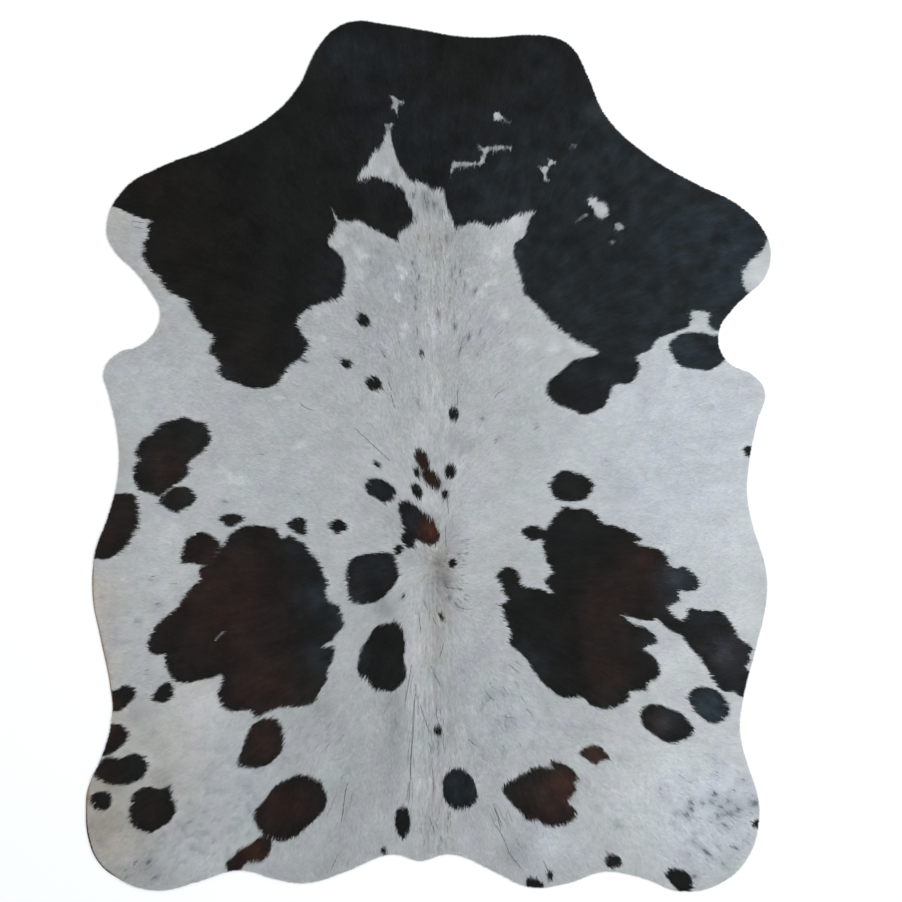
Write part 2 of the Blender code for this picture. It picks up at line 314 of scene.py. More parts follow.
        (-7.4, -84.7), (-5, -84.5), (-4.3, -87.4), (-4.6, -90), (-6, -91.9), (-7.4, -90.5), (-7.9, -88.1)),
    "aboveRightHip": (
        (29.3, -6.7), (31.4, -3.8), (34.3, -3.6), (38.6, -5.3), (39.8, -7.2), (37.9, -10.3), (34.3, -11),
        (30.7, -10.1)),
    "rightHindBlue": (
        (62.4, -57.8), (63.6, -55.9), (66, -55.4), (68.9, -55.9), (70.8, -57.6), (72.2, -60.2),
        (72, -62.2), (69.8, -64.1), (67.2, -63.8), (65, -62.2), (63.4, -60.2)),
    "rightHindRound": (
        (51.1, -61.7), (52.8, -59.8), (55.4, -59.5), (57.4, -60.5), (60.2, -61.4), (62.2, -63.1),
        (63.8, -65.3), (63.4, -67), (61.4, -68.2), (58.8, -69.1), (56.4, -68.2), (53.8, -66.5),
        (51.6, -64.6)),
    "belowRightHip": (
        (36, -71.3), (38.2, -69.8), (39.6, -69.4), (41.3, -69.8), (42.5, -71), (43.7, -72.7), (42, -73.2),
        (40.3, -74.2), (39.1, -73.7), (37.4, -72.2)),
    "rightRump": (
        (17.8, -80.4), (19, -78.5), (22.1, -76.6), (25.2, -74.9), (27.8, -74.6), (30, -74.9), (29, -73.4),
        (30.7, -73.4), (33.4, -74.4), (34.8, -75.4), (36.2, -77.5), (35.3, -79.4), (35.8, -80.6),
        (33.8, -83), (35.3, -84.5), (35.8, -85.7), (34.8, -87.4), (32.9, -88.6), (30.5, -89),
        (27.8, -88.6), (26.6, -87.6), (23.8, -87.4), (22.1, -85.4), (20.2, -83.5)),
    "rightTailSmall": (
        (42.5, -97), (43.2, -95.8), (44.4, -95.8), (45.8, -96.2), (46.6, -97.7), (45.8, -98.6),
        (44.2, -99.1), (43, -98.4)),
    "rightTailCorner": (
        (56.9, -100.6), (58.3, -98.9), (60.2, -99.1), (61.7, -99.6), (63.1, -101), (63.6, -103.4),
        (62.4, -104.6), (60.2, -104.4), (57.8, -101.8)),
    "tailEdgeRight": (
        (23.5, -101.5), (25.2, -101.3), (26.9, -102), (27.8, -103.2), (26, -105), (24, -104)),
}

# small dark spots: across, up, half length, half width (cm), slant of the length in degrees
spots = (
    (-1.5, -0.7, 2.7, 1.6, -65), (-2.7, -3.9, 1.3, 0.8, -75), (0.9, -5.5, 3.1, 1.6, -52),
    (-12.2, -1.9, 0.9, 0.7, -45), (5.4, -3.7, 1.9, 1.3, 90), (-2.7, -8.3, 1.9, 1.2, -60),
    (4.1, -9.2, 1.1, 0.9, 90), (-7.2, -22.5, 1.3, 1.1, 90), (-6, -33.8, 0.7, 0.4, 70),
    (6, -25.7, 1.2, 1, 60), (3.2, -38.5, 1.1, 0.6, -45), (2.4, -66, 1.2, 1, 90),
    (-10.6, -94.8, 0.9, 0.8, 90), (-15.5, 32.6, 1.9, 1.4, -50), (-19.6, 22.2, 1.4, 1.1, -15),
    (-13, 17.4, 2.1, 1.7, -35), (-1.6, 24.7, 0.7, 0.5, 90), (6.2, 10.2, 1.7, 1.3, 90),
    (29.3, -100.7, 1.2, 0.8, 90), (77, 1.1, 1.4, 1.3, 90), (79, -88.3, 1.2, 1, 0),
)

# pale hair inside the dark patches
paleStreaks = {
    "neckFleck": (
        (15.8, 80.6), (16, 82.2), (16.4, 82.7), (17.1, 82.4), (17.6, 81.7), (18.4, 81), (19.6, 80),
        (18.3, 80.5), (17, 80.7)),
    "neckStroke": (
        (5.4, 67.3), (6.2, 68.9), (7.6, 69.4), (9.5, 69.3), (10.8, 69.8), (12.6, 69.8), (13.5, 70.8),
        (14, 72.5), (15, 73.4), (17, 73.3), (19, 73.8), (20.2, 74), (18.8, 74.4), (17.6, 74.5),
        (16, 74.3), (14.2, 74.1), (13, 74), (11.9, 74.6), (12.6, 73.6), (13.2, 73), (12.9, 71.8),
        (12.2, 70.6), (10.8, 70.4), (9, 70.6), (7, 70.6), (6, 70.6), (5.6, 69.4)),
    "shoulderFleck": (
        (26.6, 69.4), (27.4, 69.3), (28.5, 69.7), (29, 70.4), (28.9, 71.2), (29.9, 70.9), (30.8, 70.3),
        (29.5, 69.9), (28.9, 68.7), (28.4, 67.3), (28.9, 66.2), (28.2, 65.9), (27.7, 66.1), (28, 67),
        (27.6, 67.9)),
    "shoulderBlob": (
        (38.4, 61.6), (39.1, 62.1), (40.1, 61.9), (41, 61.1), (42.2, 60.7), (43.1, 59.4), (43.2, 57.8),
        (42.4, 57.2), (41.2, 57.2), (40.2, 58.1), (39.8, 59.6), (38.8, 60.5)),
    "shoulderSpeck": (
        (44.9, 54.9), (45.2, 55.8), (45.9, 56), (46.8, 55.6), (46.7, 54.6), (46, 54), (45.2, 54.3)),
    "shoulderGlint": ((43.7, 51.4), (44.4, 51.9), (44.9, 51.3), (44.6, 50.6), (44, 50.7)),
    "shoulderStroke": ((35.6, 56.3), (36.8, 57.7), (38.4, 58.3), (38.4, 57.7), (37.2, 57)),
    "shoulderMote": ((33.8, 74.2), (34.8, 75), (35.5, 74.6), (34.9, 73.9)),
    "leftSlash": ((-23.3, 60), (-22.6, 58.6), (-21.8, 57.2), (-21, 56), (-21.8, 56), (-22.6, 57.4)),
    "neckLeftFleck": (
        (-9.4, 86.8), (-8.3, 86.3), (-7.4, 85.8), (-6.8, 85.2), (-5.2, 84.8), (-6.9, 84.5), (-7.2, 83.6),
        (-7.4, 82), (-8, 83.2), (-9, 83.7), (-8.3, 84.6), (-8.8, 85.6)),
    "wedgeTip": ((-10.4, 79.5), (-9.5, 79.7), (-8.3, 80), (-8.6, 79.2), (-9.1, 78.3), (-9.7, 78.4)),
    "hipScratch": ((-51.4, -44.1), (-50.5, -43), (-49.2, -42.2), (-49.4, -42.8), (-50.4, -43.8)),
}

# which way the tips of the hair point: rows by height (cm up), each with places across (cm)
# and the heading there, in degrees anticlockwise from the right. All of it leaves one whorl on
# the loin, at about (2, -29), forwards to the neck, out to the flanks and back to the tail.
combings = {
    98: ((-25, 108), (0, 92), (20, 84), (33, 62)),
    80: ((-40, 130), (-15, 102), (0, 91), (15, 82), (35, 62), (50, 34)),
    60: ((-72, 176), (-55, 154), (-30, 128), (-10, 106), (5, 86), (20, 72), (40, 50), (60, 26), (76, 2)),
    42: (
        (-62, 176), (-45, 160), (-25, 138), (-12, 116), (-3, 100), (4, 90), (12, 66), (24, 46), (45, 32),
        (65, 12)),
    26: (
        (-62, 180), (-34, 166), (-20, 150), (-11, 124), (-3, 98), (4, 90), (11, 66), (20, 46), (35, 27),
        (60, 6)),
    12: (
        (-70, 180), (-45, 176), (-28, 162), (-16, 140), (-8, 116), (0, 95), (4, 90), (10, 62), (18, 44),
        (32, 24), (60, 4)),
    -3: (
        (-70, 180), (-45, 177), (-26, 165), (-13, 140), (-6, 115), (2, 90), (8, 58), (15, 22), (30, 8),
        (60, 2)),
    -16: (
        (-70, 180), (-45, 180), (-22, 174), (-10, 155), (-4, 118), (2, 90), (8, 42), (16, 8), (32, 2),
        (60, 0)),
    -23: (
        (-70, 181), (-45, 181), (-24, 180), (-13, 178), (-6, 172), (-1, 120), (2, 86), (5, 36), (9, 8),
        (16, 2), (60, 0)),
    -31: (
        (-70, 182), (-45, 183), (-24, 187), (-14, 202), (-7, 232), (0, 262), (4, 300), (8, 352),
        (18, 358), (35, 359), (60, 360)),
    -42: (
        (-70, 186), (-45, 192), (-25, 206), (-12, 236), (-5, 260), (2, 272), (8, 292), (16, 326),
        (32, 345), (60, 352)),
    -58: (
        (-72, 194), (-50, 204), (-28, 222), (-12, 252), (2, 271), (12, 288), (28, 318), (50, 336),
        (72, 346)),
    -78: (
        (-72, 208), (-50, 220), (-28, 238), (-10, 262), (2, 270), (12, 280), (30, 304), (50, 318),
        (70, 328)),
    -98: ((-70, 222), (-50, 234), (-25, 250), (0, 270), (20, 284), (45, 304), (65, 318)),
}

# tints of the dark hair, the red-brown its own colour and the blue-black one painted sheen: across, up,
# radius (cm), strength
brownPlaces = (
    (-66, 70, 6, 0.15), (-78, -60, 4, 0.35), (-60, 58, 16, 0.08), (-55, 40, 12, 0.06), (-43, 25, 9, 0.1),
    (-43, -24, 7, 0.2), (-63, -3, 5, 0.35), (-77, -16, 6, 0.3), (-55, -23, 4, 0.25), (-49, -38, 13, 0.52),
    (-39, -56, 8, 0.5), (-40, -69, 4, 0.6), (-33, -84, 6, 0.55), (-43, -95, 5, 0.9), (-67, -85, 5, 0.22),
    (-77, -66, 4, 0.45), (-79, -76, 4, 0.45), (0.6, -17.6, 2.6, 1.9), (0.8, -5.5, 2.4, 0.8),
    (-1.7, -1, 2, 0.6), (53, -27, 7, 0.5), (42, -37, 7, 0.42), (43, -51, 6, 0.4), (70, -46, 6, 0.25),
    (55.7, -64, 3.5, 0.3), (40, -72, 4, 0.5), (27, -81, 6, 0.25), (-41, -84, 5, 0.3),
    (33.5, -80, 5, 0.65), (29, -86, 3, 0.3),
)
# painted sheen: blue-grey blotches of reflected light on the black hair, put into its colour
blueSheenPlaces = (
    (80, 48, 26, 0.75), (45, 50, 24, 0.3), (16, 64, 14, 0.28), (49, 75, 10, 0.3), (42, 83, 6, 0.3),
    (30, 78, 20, 0.15), (27, 95, 7, 0.1), (-18, 97, 7, 0.25), (-6, 96, 6, 0.15), (-8, 78, 14, 0.2),
    (-5, 73, 5, 0.12), (-8, 60, 5, 0.08), (21, 47, 5, 0.6), (34, 36, 12, 0.22), (41, 18, 8, 0.25),
    (56, 25, 6, 0.3), (65, 25, 6, 0.4), (-19, 42, 8, 0.28), (-30, 24, 5, 0.12), (-50, 20, 3, 0.15),
    (-26, -34, 5, 0.5), (-26, -49, 4, 0.45), (-30, -23, 4, 0.25), (-20, -39, 4, 0.35), (34, -18, 5, 0.06),
    (25, -50, 4, 0.4), (56, -44, 4, 0.35), (59.5, -29, 4, 1), (60, -35, 3, 0.7), (71, -47, 6, 0.6),
    (66, -37, 4, 0.3), (67.4, -60, 5, 1), (57, -64, 3, 0.5), (7.4, -80, 4, 0.8), (-13.4, -27, 4, 0.4),
    (-17, -48, 3, 0.3), (-4, -15, 2, 0.5), (-12, -8, 3, 0.4),
)
# where the dark hair is lighter (+) or deeper (-) in tone
deepPlaces = (
    (-56, 58, 18, -0.24), (-46, 46, 16, -0.08), (42, -38, 14, -0.08), (42, 48, 8, -0.26),
    (-62, 1, 9, 0.42), (-60, -11, 4, 0.35), (-55, -10, 4, 0.25), (-47, -15, 4, 0.45), (-77, -18, 7, 0.28),
    (-28, -57, 6, 0.6), (-41, -70, 6, 0.3), (28, -80, 9, 0.62), (18, -82, 4, 0.3), (-54, 11, 5, 0.6),
    (-65, -38, 4, 0.3), (-77, -60, 4, 0.3), (-17, -33, 6, 0.4), (40, -72, 4, 0.8), (-33, -84, 7, -0.15),
    (43, -59, 5, 0.4), (54, -46, 5, 0.35), (74, -49, 6, 0.3), (66, -60, 5, 0.7), (56, -64, 4, 0.3),
    (-19, -38, 4, 0.6), (42, 84, 5, 0.5), (-29, 97, 6, 0.7), (66, -33, 4, 0.25), (19, 47, 5, 0.25),
    (-66, 71, 6, -0.3), (-3, -12, 5, 0.2), (46, -99, 4, 0.3),
)

# the pale hair: where it looks lighter (+) or darker (-), and where warmer (+) or cooler (-)
lightPlaces = (
    # the right side: its first three, broad ones are painted light, lighter over the right flank and hind
    # leg as light falls from the right
    (66, 0, 34, 0.075), (64, -74, 26, 0.105), (64, -90, 16, 0.065), (77, -40, 7, 0.1), (69, -22, 9, 0.05),
    (66, -9, 5, 0.03), (60, 15, 4, 0.04), (58, -50, 6, 0.075), (52.5, 14.5, 3.5, -0.04),
    (58, 5, 4, -0.04), (47, -7, 3.5, -0.085), (79, 45, 4, 0.08), (22, 10, 12, -0.035), (17, -3, 4, 0.04),
    (59, -8, 3, -0.045), (70, -4, 3, -0.06), (76, -12, 4, 0.04), (46, 13, 3, 0.05), (27, 5, 3, 0.03),
    (12, 7, 4, 0.045), (48, -79, 5, 0.05), (58.6, -73.4, 6, 0.02), (74, -76, 5, 0.04), (45, -85, 5, 0.05),
    (50, -93, 4, 0.04), (62, -96, 3, -0.07), (29.5, -94, 4, 0.09), (20.5, -95.5, 4, -0.11),
    (19.5, -64, 2.6, -0.1), (26, -68, 5, 0.05), (24, -61, 4, 0.03), (12, -61, 3, 0.045),
    (15, -58.5, 3, -0.04), (7.5, -57, 2.5, -0.04), (13, -45, 3, -0.03), (38, -65, 4, -0.05),
    (46, -68.5, 3, 0.05), (12.5, -87, 3, -0.05), (35, 25.5, 3.5, -0.03), (28, 24, 4, -0.03),
    (68, -86, 9, 0.02), (67, -95, 3, 0.04), (18, -27, 5, -0.04), (15.5, -35, 4, -0.05),
    (10, -15, 3, 0.04), (78, -88, 3, 0.04),
    # the left side
    (-25, -66, 16, -0.035), (-62, -70, 16, 0.02), (-66.9, 17.1, 6, 0.05), (-54, -59, 6, 0.09),
    (-67.6, -27, 5, 0.05), (-14, -73, 13, -0.03), (-72, 40, 6, -0.02), (-68, 46, 3, 0.05),
    (-63, -20, 5, 0.12), (-75, -31, 6, 0.055), (-68, -42, 4, 0.05), (-63, -32, 4, 0.05),
    (-70, 7, 4, 0.06), (-58, 16, 5, 0.055), (-74, 13, 4, 0.03), (-46, -8, 5, 0.065), (-54, -12, 4, 0.05),
    (-30, -7, 5, 0.04), (-43, 9, 4, -0.03), (-71, -62, 4, -0.07), (-77, -79, 4, -0.12),
    (-65, -78, 4, -0.12), (-58, -74, 5, -0.01), (-53, -67, 5, 0.05), (-52, -76, 3, -0.05),
    (-68, -100, 5, -0.11), (-64, -102, 3, -0.04), (-75, -98.5, 4, -0.05), (-68.5, -91.5, 3, -0.05),
    (-73, -88, 4, -0.05), (-79.5, -89, 5, -0.11), (-72.5, -98, 2.5, 0.06), (-59, -28.5, 3, 0.06),
    (-57, -86, 3, -0.04), (-46, -88, 4, 0.055), (-54, -98, 4, 0.07), (-24, -75, 4, 0.07),
    (-17, -85, 4, -0.055), (-21, -93, 4, -0.05), (-24, -100, 5, -0.08), (-34, -101, 4, -0.05),
    (-26, -60.5, 3, -0.11), (-13, -60, 3, -0.04), (-17, -65, 3, 0.045), (-11, -36.8, 3.4, -0.17),
    (-7, -27.5, 3, 0.04), (-14, -12, 4, -0.045),
    # the withers and the neck
    (0, 38, 20, -0.055), (-1, 61.6, 2.8, -0.1), (-3.5, 60.5, 2.5, -0.02), (-11.4, 48.8, 2.5, -0.08),
    (-13, 44.5, 3, -0.07), (-15, 38, 3, -0.04), (-8, 33.5, 2.4, -0.02), (7, 53.5, 2.5, -0.09),
    (6, 42, 4, 0.06), (9, 48.5, 2.5, -0.05), (20, 54, 4, 0.07), (-18, 52, 3, -0.05),
    (-28, 32.5, 3.5, -0.07), (-30, 18, 5, -0.035), (-20, 17, 4, -0.03), (-12, 25, 3, 0.035),
    (-8, 67, 2, -0.08), (-14, 70, 2, 0.05), (19, 35, 3, 0.03), (6, 4.2, 2, -0.09), (9.8, 3, 1.4, -0.08),
    (8, 0.6, 1, -0.06),
    # the whorl on the loin: mostly painted shade, darker in the parting of the hair, with a few lighter
    # tufts beside it
    (0.8, -26.4, 2.2, -0.1), (3.2, -24.6, 2.6, -0.15), (3.5, -29.4, 3, -0.25), (3.2, -34.6, 2.8, -0.12),
    (3, -26.5, 2.2, -0.06), (6.4, -21.6, 1.6, -0.06), (5, -18.5, 2.5, -0.1), (-4, -25, 2.5, -0.07),
    (-1, -23, 2.4, -0.1), (-8, -17.5, 3, -0.07), (0.5, -10.5, 1.8, 0.16), (7.5, -23, 3, -0.07),
    (5, -14, 2.5, -0.06), (7.5, -3, 2, 0.07), (4, -42, 2.5, -0.04), (2.4, -13, 1.6, 0.12),
    (3.8, -26, 2, -0.05), (1.9, -28, 1.5, 0.06), (9.6, -23, 2, 0.06),
    # the small marks in the dark patches
    (-8, 85, 2.2, -0.2), (-9.4, 79.2, 1.3, -0.34), (37, 57.3, 1.8, -0.62), (44.2, 51, 1.3, -0.6),
    (34.6, 74.5, 1.4, -0.5), (-50.3, -43.2, 1.6, -0.56), (45.9, 55, 1.3, -0.26), (18.6, 80.4, 1.3, -0.3),
    (8, 70, 3.6, -0.18), (16.6, 74, 3.6, -0.18), (28.6, 68.5, 3.5, -0.12), (-22.2, 58, 2.5, -0.08),
)
# long bands of it beside the back line: height, across, half width (cm) and how much lighter
paleRidge = (
    (62, 0, 3, 0), (55, -0.5, 3, 0.05), (47, -0.5, 3, 0.06), (36, 0, 3.5, 0.11), (25, 1.8, 2.8, 0.1),
    (18, 1, 2.8, 0.07), (6, 0, 3.5, 0.09), (-3, -2, 3, 0.05), (-12, 0, 2.5, 0), (-28, -2.5, 2.5, 0.02),
    (-35, -2.8, 2.8, 0.08), (-45, -2, 3.2, 0.09), (-56, -1.8, 3, 0.1), (-62, -3.4, 2.2, 0.05),
    (-68, -3.4, 2.4, 0.08), (-74, -2, 3.2, 0.09), (-88, -2.6, 3, 0.06), (-96, -2, 3, 0),
)
shadedSide = (
    (-50, -9, 3, 0), (-56, -8, 3, -0.11), (-66, -7.6, 2.8, -0.1), (-74, -8.4, 2.8, -0.05),
    (-86, -8.5, 2.8, 0),
)
# small tufts of it with plain borders
paleTufts = (
    (16.7, 48.8, 2.2, 0.11), (21.4, 56.2, 1.8, 0.1), (12.4, 39, 1, 0.14), (14.2, 41, 1, 0.14),
    (17.8, 34.6, 1.7, 0.08), (11.7, 37, 1.2, 0.07), (24.4, 26.8, 1.9, 0.08), (30, 26.4, 1.5, 0.07),
    (35.2, 26.4, 1.8, 0.09), (-20.8, 52.4, 1.5, 0.11), (-22.8, 50.6, 1, 0.08), (-15.9, 48.4, 1.6, 0.14),
    (-17.6, 50.2, 1, 0.1), (-16.5, 43.6, 1.4, 0.1), (-14.6, 44.4, 0.8, 0.08), (-6.3, 45.2, 0.9, 0.15),
    (-6, 43.4, 0.9, 0.15), (-7.3, 38.5, 1, 0.22), (-8, 40.4, 0.6, 0.1), (-5.5, 31.6, 1, 0.15),
    (-5.4, 29.2, 1, 0.14), (-26.9, 33.9, 1.4, 0.09), (-24.4, 34.8, 1, 0.09), (-25.4, 28.2, 1.3, 0.09),
    (-36, 13.9, 1.1, 0.09), (-30.5, 2.6, 1.2, 0.1), (-32.6, 1.6, 0.8, 0.06), (-47.6, -5, 1.4, 0.08),
    (-44.8, -5.6, 1.2, 0.07), (-50, -3.2, 1.2, 0.06), (-10, 68, 1.3, 0.1), (-6.4, 66.2, 0.9, 0.08),
    (54.8, 10.4, 1.6, 0.05), (49, 14, 1.6, 0.05), (-49.9, -70.5, 1.5, -0.06), (-45.2, -78, 1.5, -0.06),
    (-65.8, -66.3, 1, -0.07), (-59.7, -65.4, 0.8, -0.06), (46.8, -72.6, 1.4, -0.07),
    (41, -85, 1.2, -0.07), (45.6, -88.7, 1.2, -0.07), (42.8, -65.8, 1, -0.06), (56, 6, 1.2, -0.04),
    (64, 12, 1.4, -0.04),
)
# painted light and shade in it: the cooler first row over the right flank goes with the painted light on
# the right side, and the warmth about (3, -28) with the painted shade at the whorl
warmPlaces = (
    (62, 0, 34, -0.5), (1, 52, 5, 0.25), (2.4, 42, 5, 0.1), (3, 20, 4, 0.2), (3, 33, 3, 0.15),
    (9, 41, 4, 0.15), (3.2, -28, 4, 0.6), (3.2, -38, 4, 0.5), (0.4, -46, 4, 0.35), (1.2, -58, 3, 0.3),
    (-79, -91, 11, 1), (-60, -92, 20, 0.1), (-56, -97, 5, -0.3), (-76, 56, 5, 0.6), (-60, -35, 14, 0.15),
    (2, -82, 8, 0.2), (-9, 44, 6, -0.45), (8, 47.6, 3, -0.25), (66, -84, 12, -0.55), (72, -93, 6, -0.3),
    (-45, -82, 10, -0.3), (15, -60, 8, -0.3), (32, -94, 9, -0.3), (24, -93, 5, -0.2), (-56, -56, 6, 0.25),
    (-83, -35, 8, 1.3), (-80, -50, 6, 1.1), (-76, -64, 6, 0.75), (-82, -80, 7, 0.9), (-62, -68, 9, 0.4),
    (-57, -80, 7, 0.2), (60, -98, 9, -0.25), (22, -66, 6, -0.2), (80, 16, 3, 0.4), (-66, 31, 4, 0.5),
    (-78, 25, 4, 0.35), (-66, -77, 5, 0.3), (-67, 43, 4, 0.5), (-77, 0, 5, 0.8), (-34, -8, 9, -0.2),
    (-65, 20, 7, -0.2), (32, 25, 4, 0.1), (2, -22, 4, 0.3), (-4, -83, 4, -0.2),
)
# where the pale hair is full of small flecks and tufts
busyPlaces = (
    (0, 60, 7, 0.9), (2, 50, 8, 1), (3, 40, 9, 1), (4, 30, 6, 0.7), (5, 20, 5, 0.4), (-10, 44, 10, 0.5),
    (15, 40, 10, 0.6), (26, 28, 8, 0.5), (3, -26, 7, 0.8), (1, -40, 6, 0.5), (-2, -55, 7, 0.4),
    (-9, -16, 5, 0.4), (10, -70, 14, 0.4), (66, -84, 16, 0.6), (-64, -94, 14, 0.4), (-30, -70, 14, 0.3),
)
# where soft blue-grey spots lie in it
spottyPlaces = (
    (-64, -92, 20, 1), (-68, -44, 13, 0.8), (-34, -70, 16, 0.6), (66, -82, 15, 0.8), (16, -62, 13, 1),
    (38, -76, 16, 0.5), (-62, 14, 16, 0.35), (56, 10, 24, 0.4), (-44, -88, 12, 0.8), (10, 10, 14, 0.3),
)

# dark flecks in the pale hair: across, up, half length, half width (cm), share of dark hairs
flecks = (
    (55.9, -80.6, 0.9, 1, 0.3), (64.3, -77.2, 0.6, 0.5, 0.35), (68.8, -81.2, 0.8, 0.8, 0.75),
    (68, -83, 0.7, 0.8, 0.55), (63.1, -83.2, 0.7, 0.7, 0.55), (63.2, -84.8, 0.7, 0.6, 0.65),
    (65.9, -83.3, 0.6, 0.6, 0.6), (62, -86.2, 0.7, 0.6, 0.6), (59.6, -86.1, 0.8, 0.6, 0.4),
    (70.2, -84.2, 0.9, 0.7, 0.5), (69.6, -86.4, 0.8, 0.9, 0.55), (72.2, -82.8, 1, 0.8, 0.5),
    (74.6, -84.9, 1, 0.9, 0.45), (72.9, -86, 1.6, 1.4, 0.3), (73.2, -80.6, 1, 0.8, 0.35),
    (78.5, -83.4, 0.8, 0.9, 0.8), (71.2, -88.6, 1, 0.5, 0.6), (67, -95.2, 1.3, 0.45, 0.9),
    (64, -92.9, 1, 0.4, 0.55), (73.9, -94.1, 0.9, 0.6, 0.5), (69.6, -93.6, 0.9, 0.35, 0.5),
    (70.8, -97.9, 1, 0.5, 0.45), (72.3, -96.2, 0.8, 0.35, 0.4), (63.9, -100.9, 0.8, 0.7, 0.6),
    (75.9, -78, 1.2, 0.9, 0.4), (71.1, -73.9, 0.6, 0.6, 0.35), (69.6, -77, 1, 0.6, 0.3),
    (63.6, -87.2, 0.8, 1.1, 0.45), (78.6, -85.3, 0.8, 0.8, 0.25), (72.5, -86, 3, 2.2, 0.15),
    (63, -84.6, 2.6, 1.8, 0.1), (45.8, -88.6, 0.7, 0.5, 0.4), (-57.4, -88, 0.8, 0.6, 0.5),
    (-67.2, -97.5, 0.9, 0.6, 0.7), (-65.1, -101, 1, 0.6, 0.45), (-70, -97.6, 0.8, 0.7, 0.2),
    (-59.6, -92.4, 0.6, 0.4, 0.3), (-72.8, -99, 1.2, 1, 0.2), (-72.5, -101.2, 1.4, 0.5, 0.35),
    (-53.8, -94.8, 0.8, 0.5, 0.2), (-66.2, -29.9, 0.9, 0.6, 0.3), (-64.8, -35.5, 0.9, 0.6, 0.45),
    (-69.5, -39.6, 0.8, 0.6, 0.35), (-76.5, -37.8, 0.8, 0.7, 0.3), (-77.9, -33.6, 0.8, 0.6, 0.3),
    (-67.6, -51.8, 0.9, 0.6, 0.15), (-46.5, -7.6, 0.8, 0.4, 0.25), (-48.7, -10.9, 0.8, 0.5, 0.45),
    (-30.8, -9.2, 0.5, 0.6, 0.35), (-40.5, 0.4, 0.8, 0.4, 0.3), (-29.8, 22.9, 1, 0.5, 0.8),
    (12.1, 24.4, 1, 0.6, 0.35), (13.2, 8.9, 0.5, 0.9, 0.6), (26.2, 7, 0.4, 0.7, 0.4),
    (17.2, 4, 0.9, 0.5, 0.35), (68.1, 11.5, 0.6, 0.5, 0.35), (59.9, 16.7, 0.6, 0.5, 0.3),
    (42.6, -1, 0.7, 0.5, 0.3), (-2.4, 12.7, 1.1, 0.5, 0.5), (-3.4, 62.9, 0.6, 0.5, 0.6),
    (-1, 62.6, 0.7, 0.4, 0.6), (0, 60.7, 0.7, 0.4, 0.6), (1.4, 60.4, 1.2, 0.5, 0.8),
    (-0.2, 59, 0.7, 0.4, 0.5), (3.4, 58.1, 0.9, 0.4, 0.5), (-3.1, 57.1, 0.6, 0.5, 0.5),
    (-2.2, 52.3, 0.7, 0.4, 0.5), (0.5, 52.8, 0.6, 0.4, 0.5), (4.3, 52.3, 1.2, 0.5, 0.55),
    (3.2, 49.5, 1, 0.5, 0.5), (1.2, 49.4, 0.8, 0.4, 0.5), (-0.2, 48.5, 0.6, 0.4, 0.5),
    (1.7, 47.8, 0.8, 0.4, 0.5), (-3.8, 46.6, 0.6, 0.4, 0.6), (-3.1, 44.6, 0.8, 0.4, 0.5),
    (-2.2, 42.7, 1.2, 0.4, 0.6), (-0.2, 44.6, 1, 0.3, 0.5), (6.2, 46.6, 0.8, 0.5, 0.35),
    (7.7, 44.2, 1.1, 0.3, 0.6), (5.8, 43.4, 1.1, 0.3, 0.5), (6.7, 41.4, 0.9, 0.4, 0.5),
    (8.8, 41, 1.2, 0.3, 0.5), (5.3, 37.4, 1, 0.4, 0.4), (6.5, 31.2, 0.9, 0.5, 0.6),
    (-2.9, 37.9, 0.7, 0.5, 0.6), (-2.9, 35.5, 0.8, 0.4, 0.4), (2.4, 34.3, 0.8, 0.3, 0.6),
    (-2.6, 30, 0.8, 0.4, 0.5), (-9.6, 21.1, 1.1, 0.3, 0.4), (-7, 27.4, 0.9, 0.4, 0.4),
    (7.7, 25.6, 1.6, 0.3, 0.6), (9.9, 28.7, 1.2, 0.5, 0.6), (12.6, 29.9, 1, 0.35, 0.5),
    (11.2, 39.4, 0.9, 0.6, 0.6), (-11, 25, 1, 0.35, 0.5), (-21.6, 23.9, 0.9, 0.35, 0.5),
    (5, -22.6, 0.8, 0.5, 0.45), (2.9, -24.8, 0.8, 0.8, 0.4), (4.5, -31, 0.8, 1, 0.45),
    (5.2, -34.1, 0.7, 0.7, 0.65), (7, -35.9, 1, 0.4, 0.6), (4.6, -27, 1.2, 1.4, 0.2),
)

# single long dark hairs lying on the pale coat: across, up where each starts and ends (cm)
longHairs = (
    (-9.1, -1.2, -17.3, 6.5), (7, 10.8, 7.2, 16), (-7.9, 11.5, -8.9, 15), (-8.6, 15.6, -9.6, 18.4),
    (16, 13.9, 18.2, 15.9), (-2.2, -37.4, -1.7, -42), (-1, -34.6, -0.2, -36.6), (1.2, -38.6, 2.1, -40.6),
    (-3.9, -50, -5.4, -58.6), (0.7, -50.3, 1.6, -52.8), (1.6, -52.6, 2.9, -55.2),
    (-3.2, -58.4, -3.9, -70.6), (-3, -57, -3.7, -66), (-3.9, -70, -4.6, -83.4), (-3.7, -66, -4.3, -77),
    (-2.4, -57.4, -2.4, -62), (-1.8, -59.8, 0.4, -66.2), (0.1, -68.7, 0.8, -71.2), (3.5, -68.6, 3.9, -71),
    (3.8, -44.8, 2.9, -48), (13.9, -56.6, 15.7, -58.6), (19.4, -50, 21.9, -52.1),
    (18.2, -62.5, 20.6, -62.8), (9.6, -67.8, 11.8, -69.6), (1, -74.8, 1.4, -80.4),
    (0.4, -86.4, 1.6, -90.2), (15.6, -83.3, 17.8, -88.8), (16.3, -88.6, 19.4, -95.1),
    (15.9, -84.6, 17.4, -89.6), (19.4, -95, 22.4, -98.9), (27.7, -97.2, 29.6, -100.6),
    (7.2, -36.2, 10.2, -36.7), (4.4, -31.6, 8.4, -32.2), (5, -14, 4.6, -8.6), (4.4, -21.8, 4.2, -17),
    (-71, 56.4, -68.2, 56), (-70.6, 55, -68.6, 54.6), (-30.5, 12.5, -27.5, 11),
    (-19.2, -78.4, -20.4, -86), (-19.8, -80, -20.8, -88), (-21.6, -95.6, -23.2, -99.2),
)
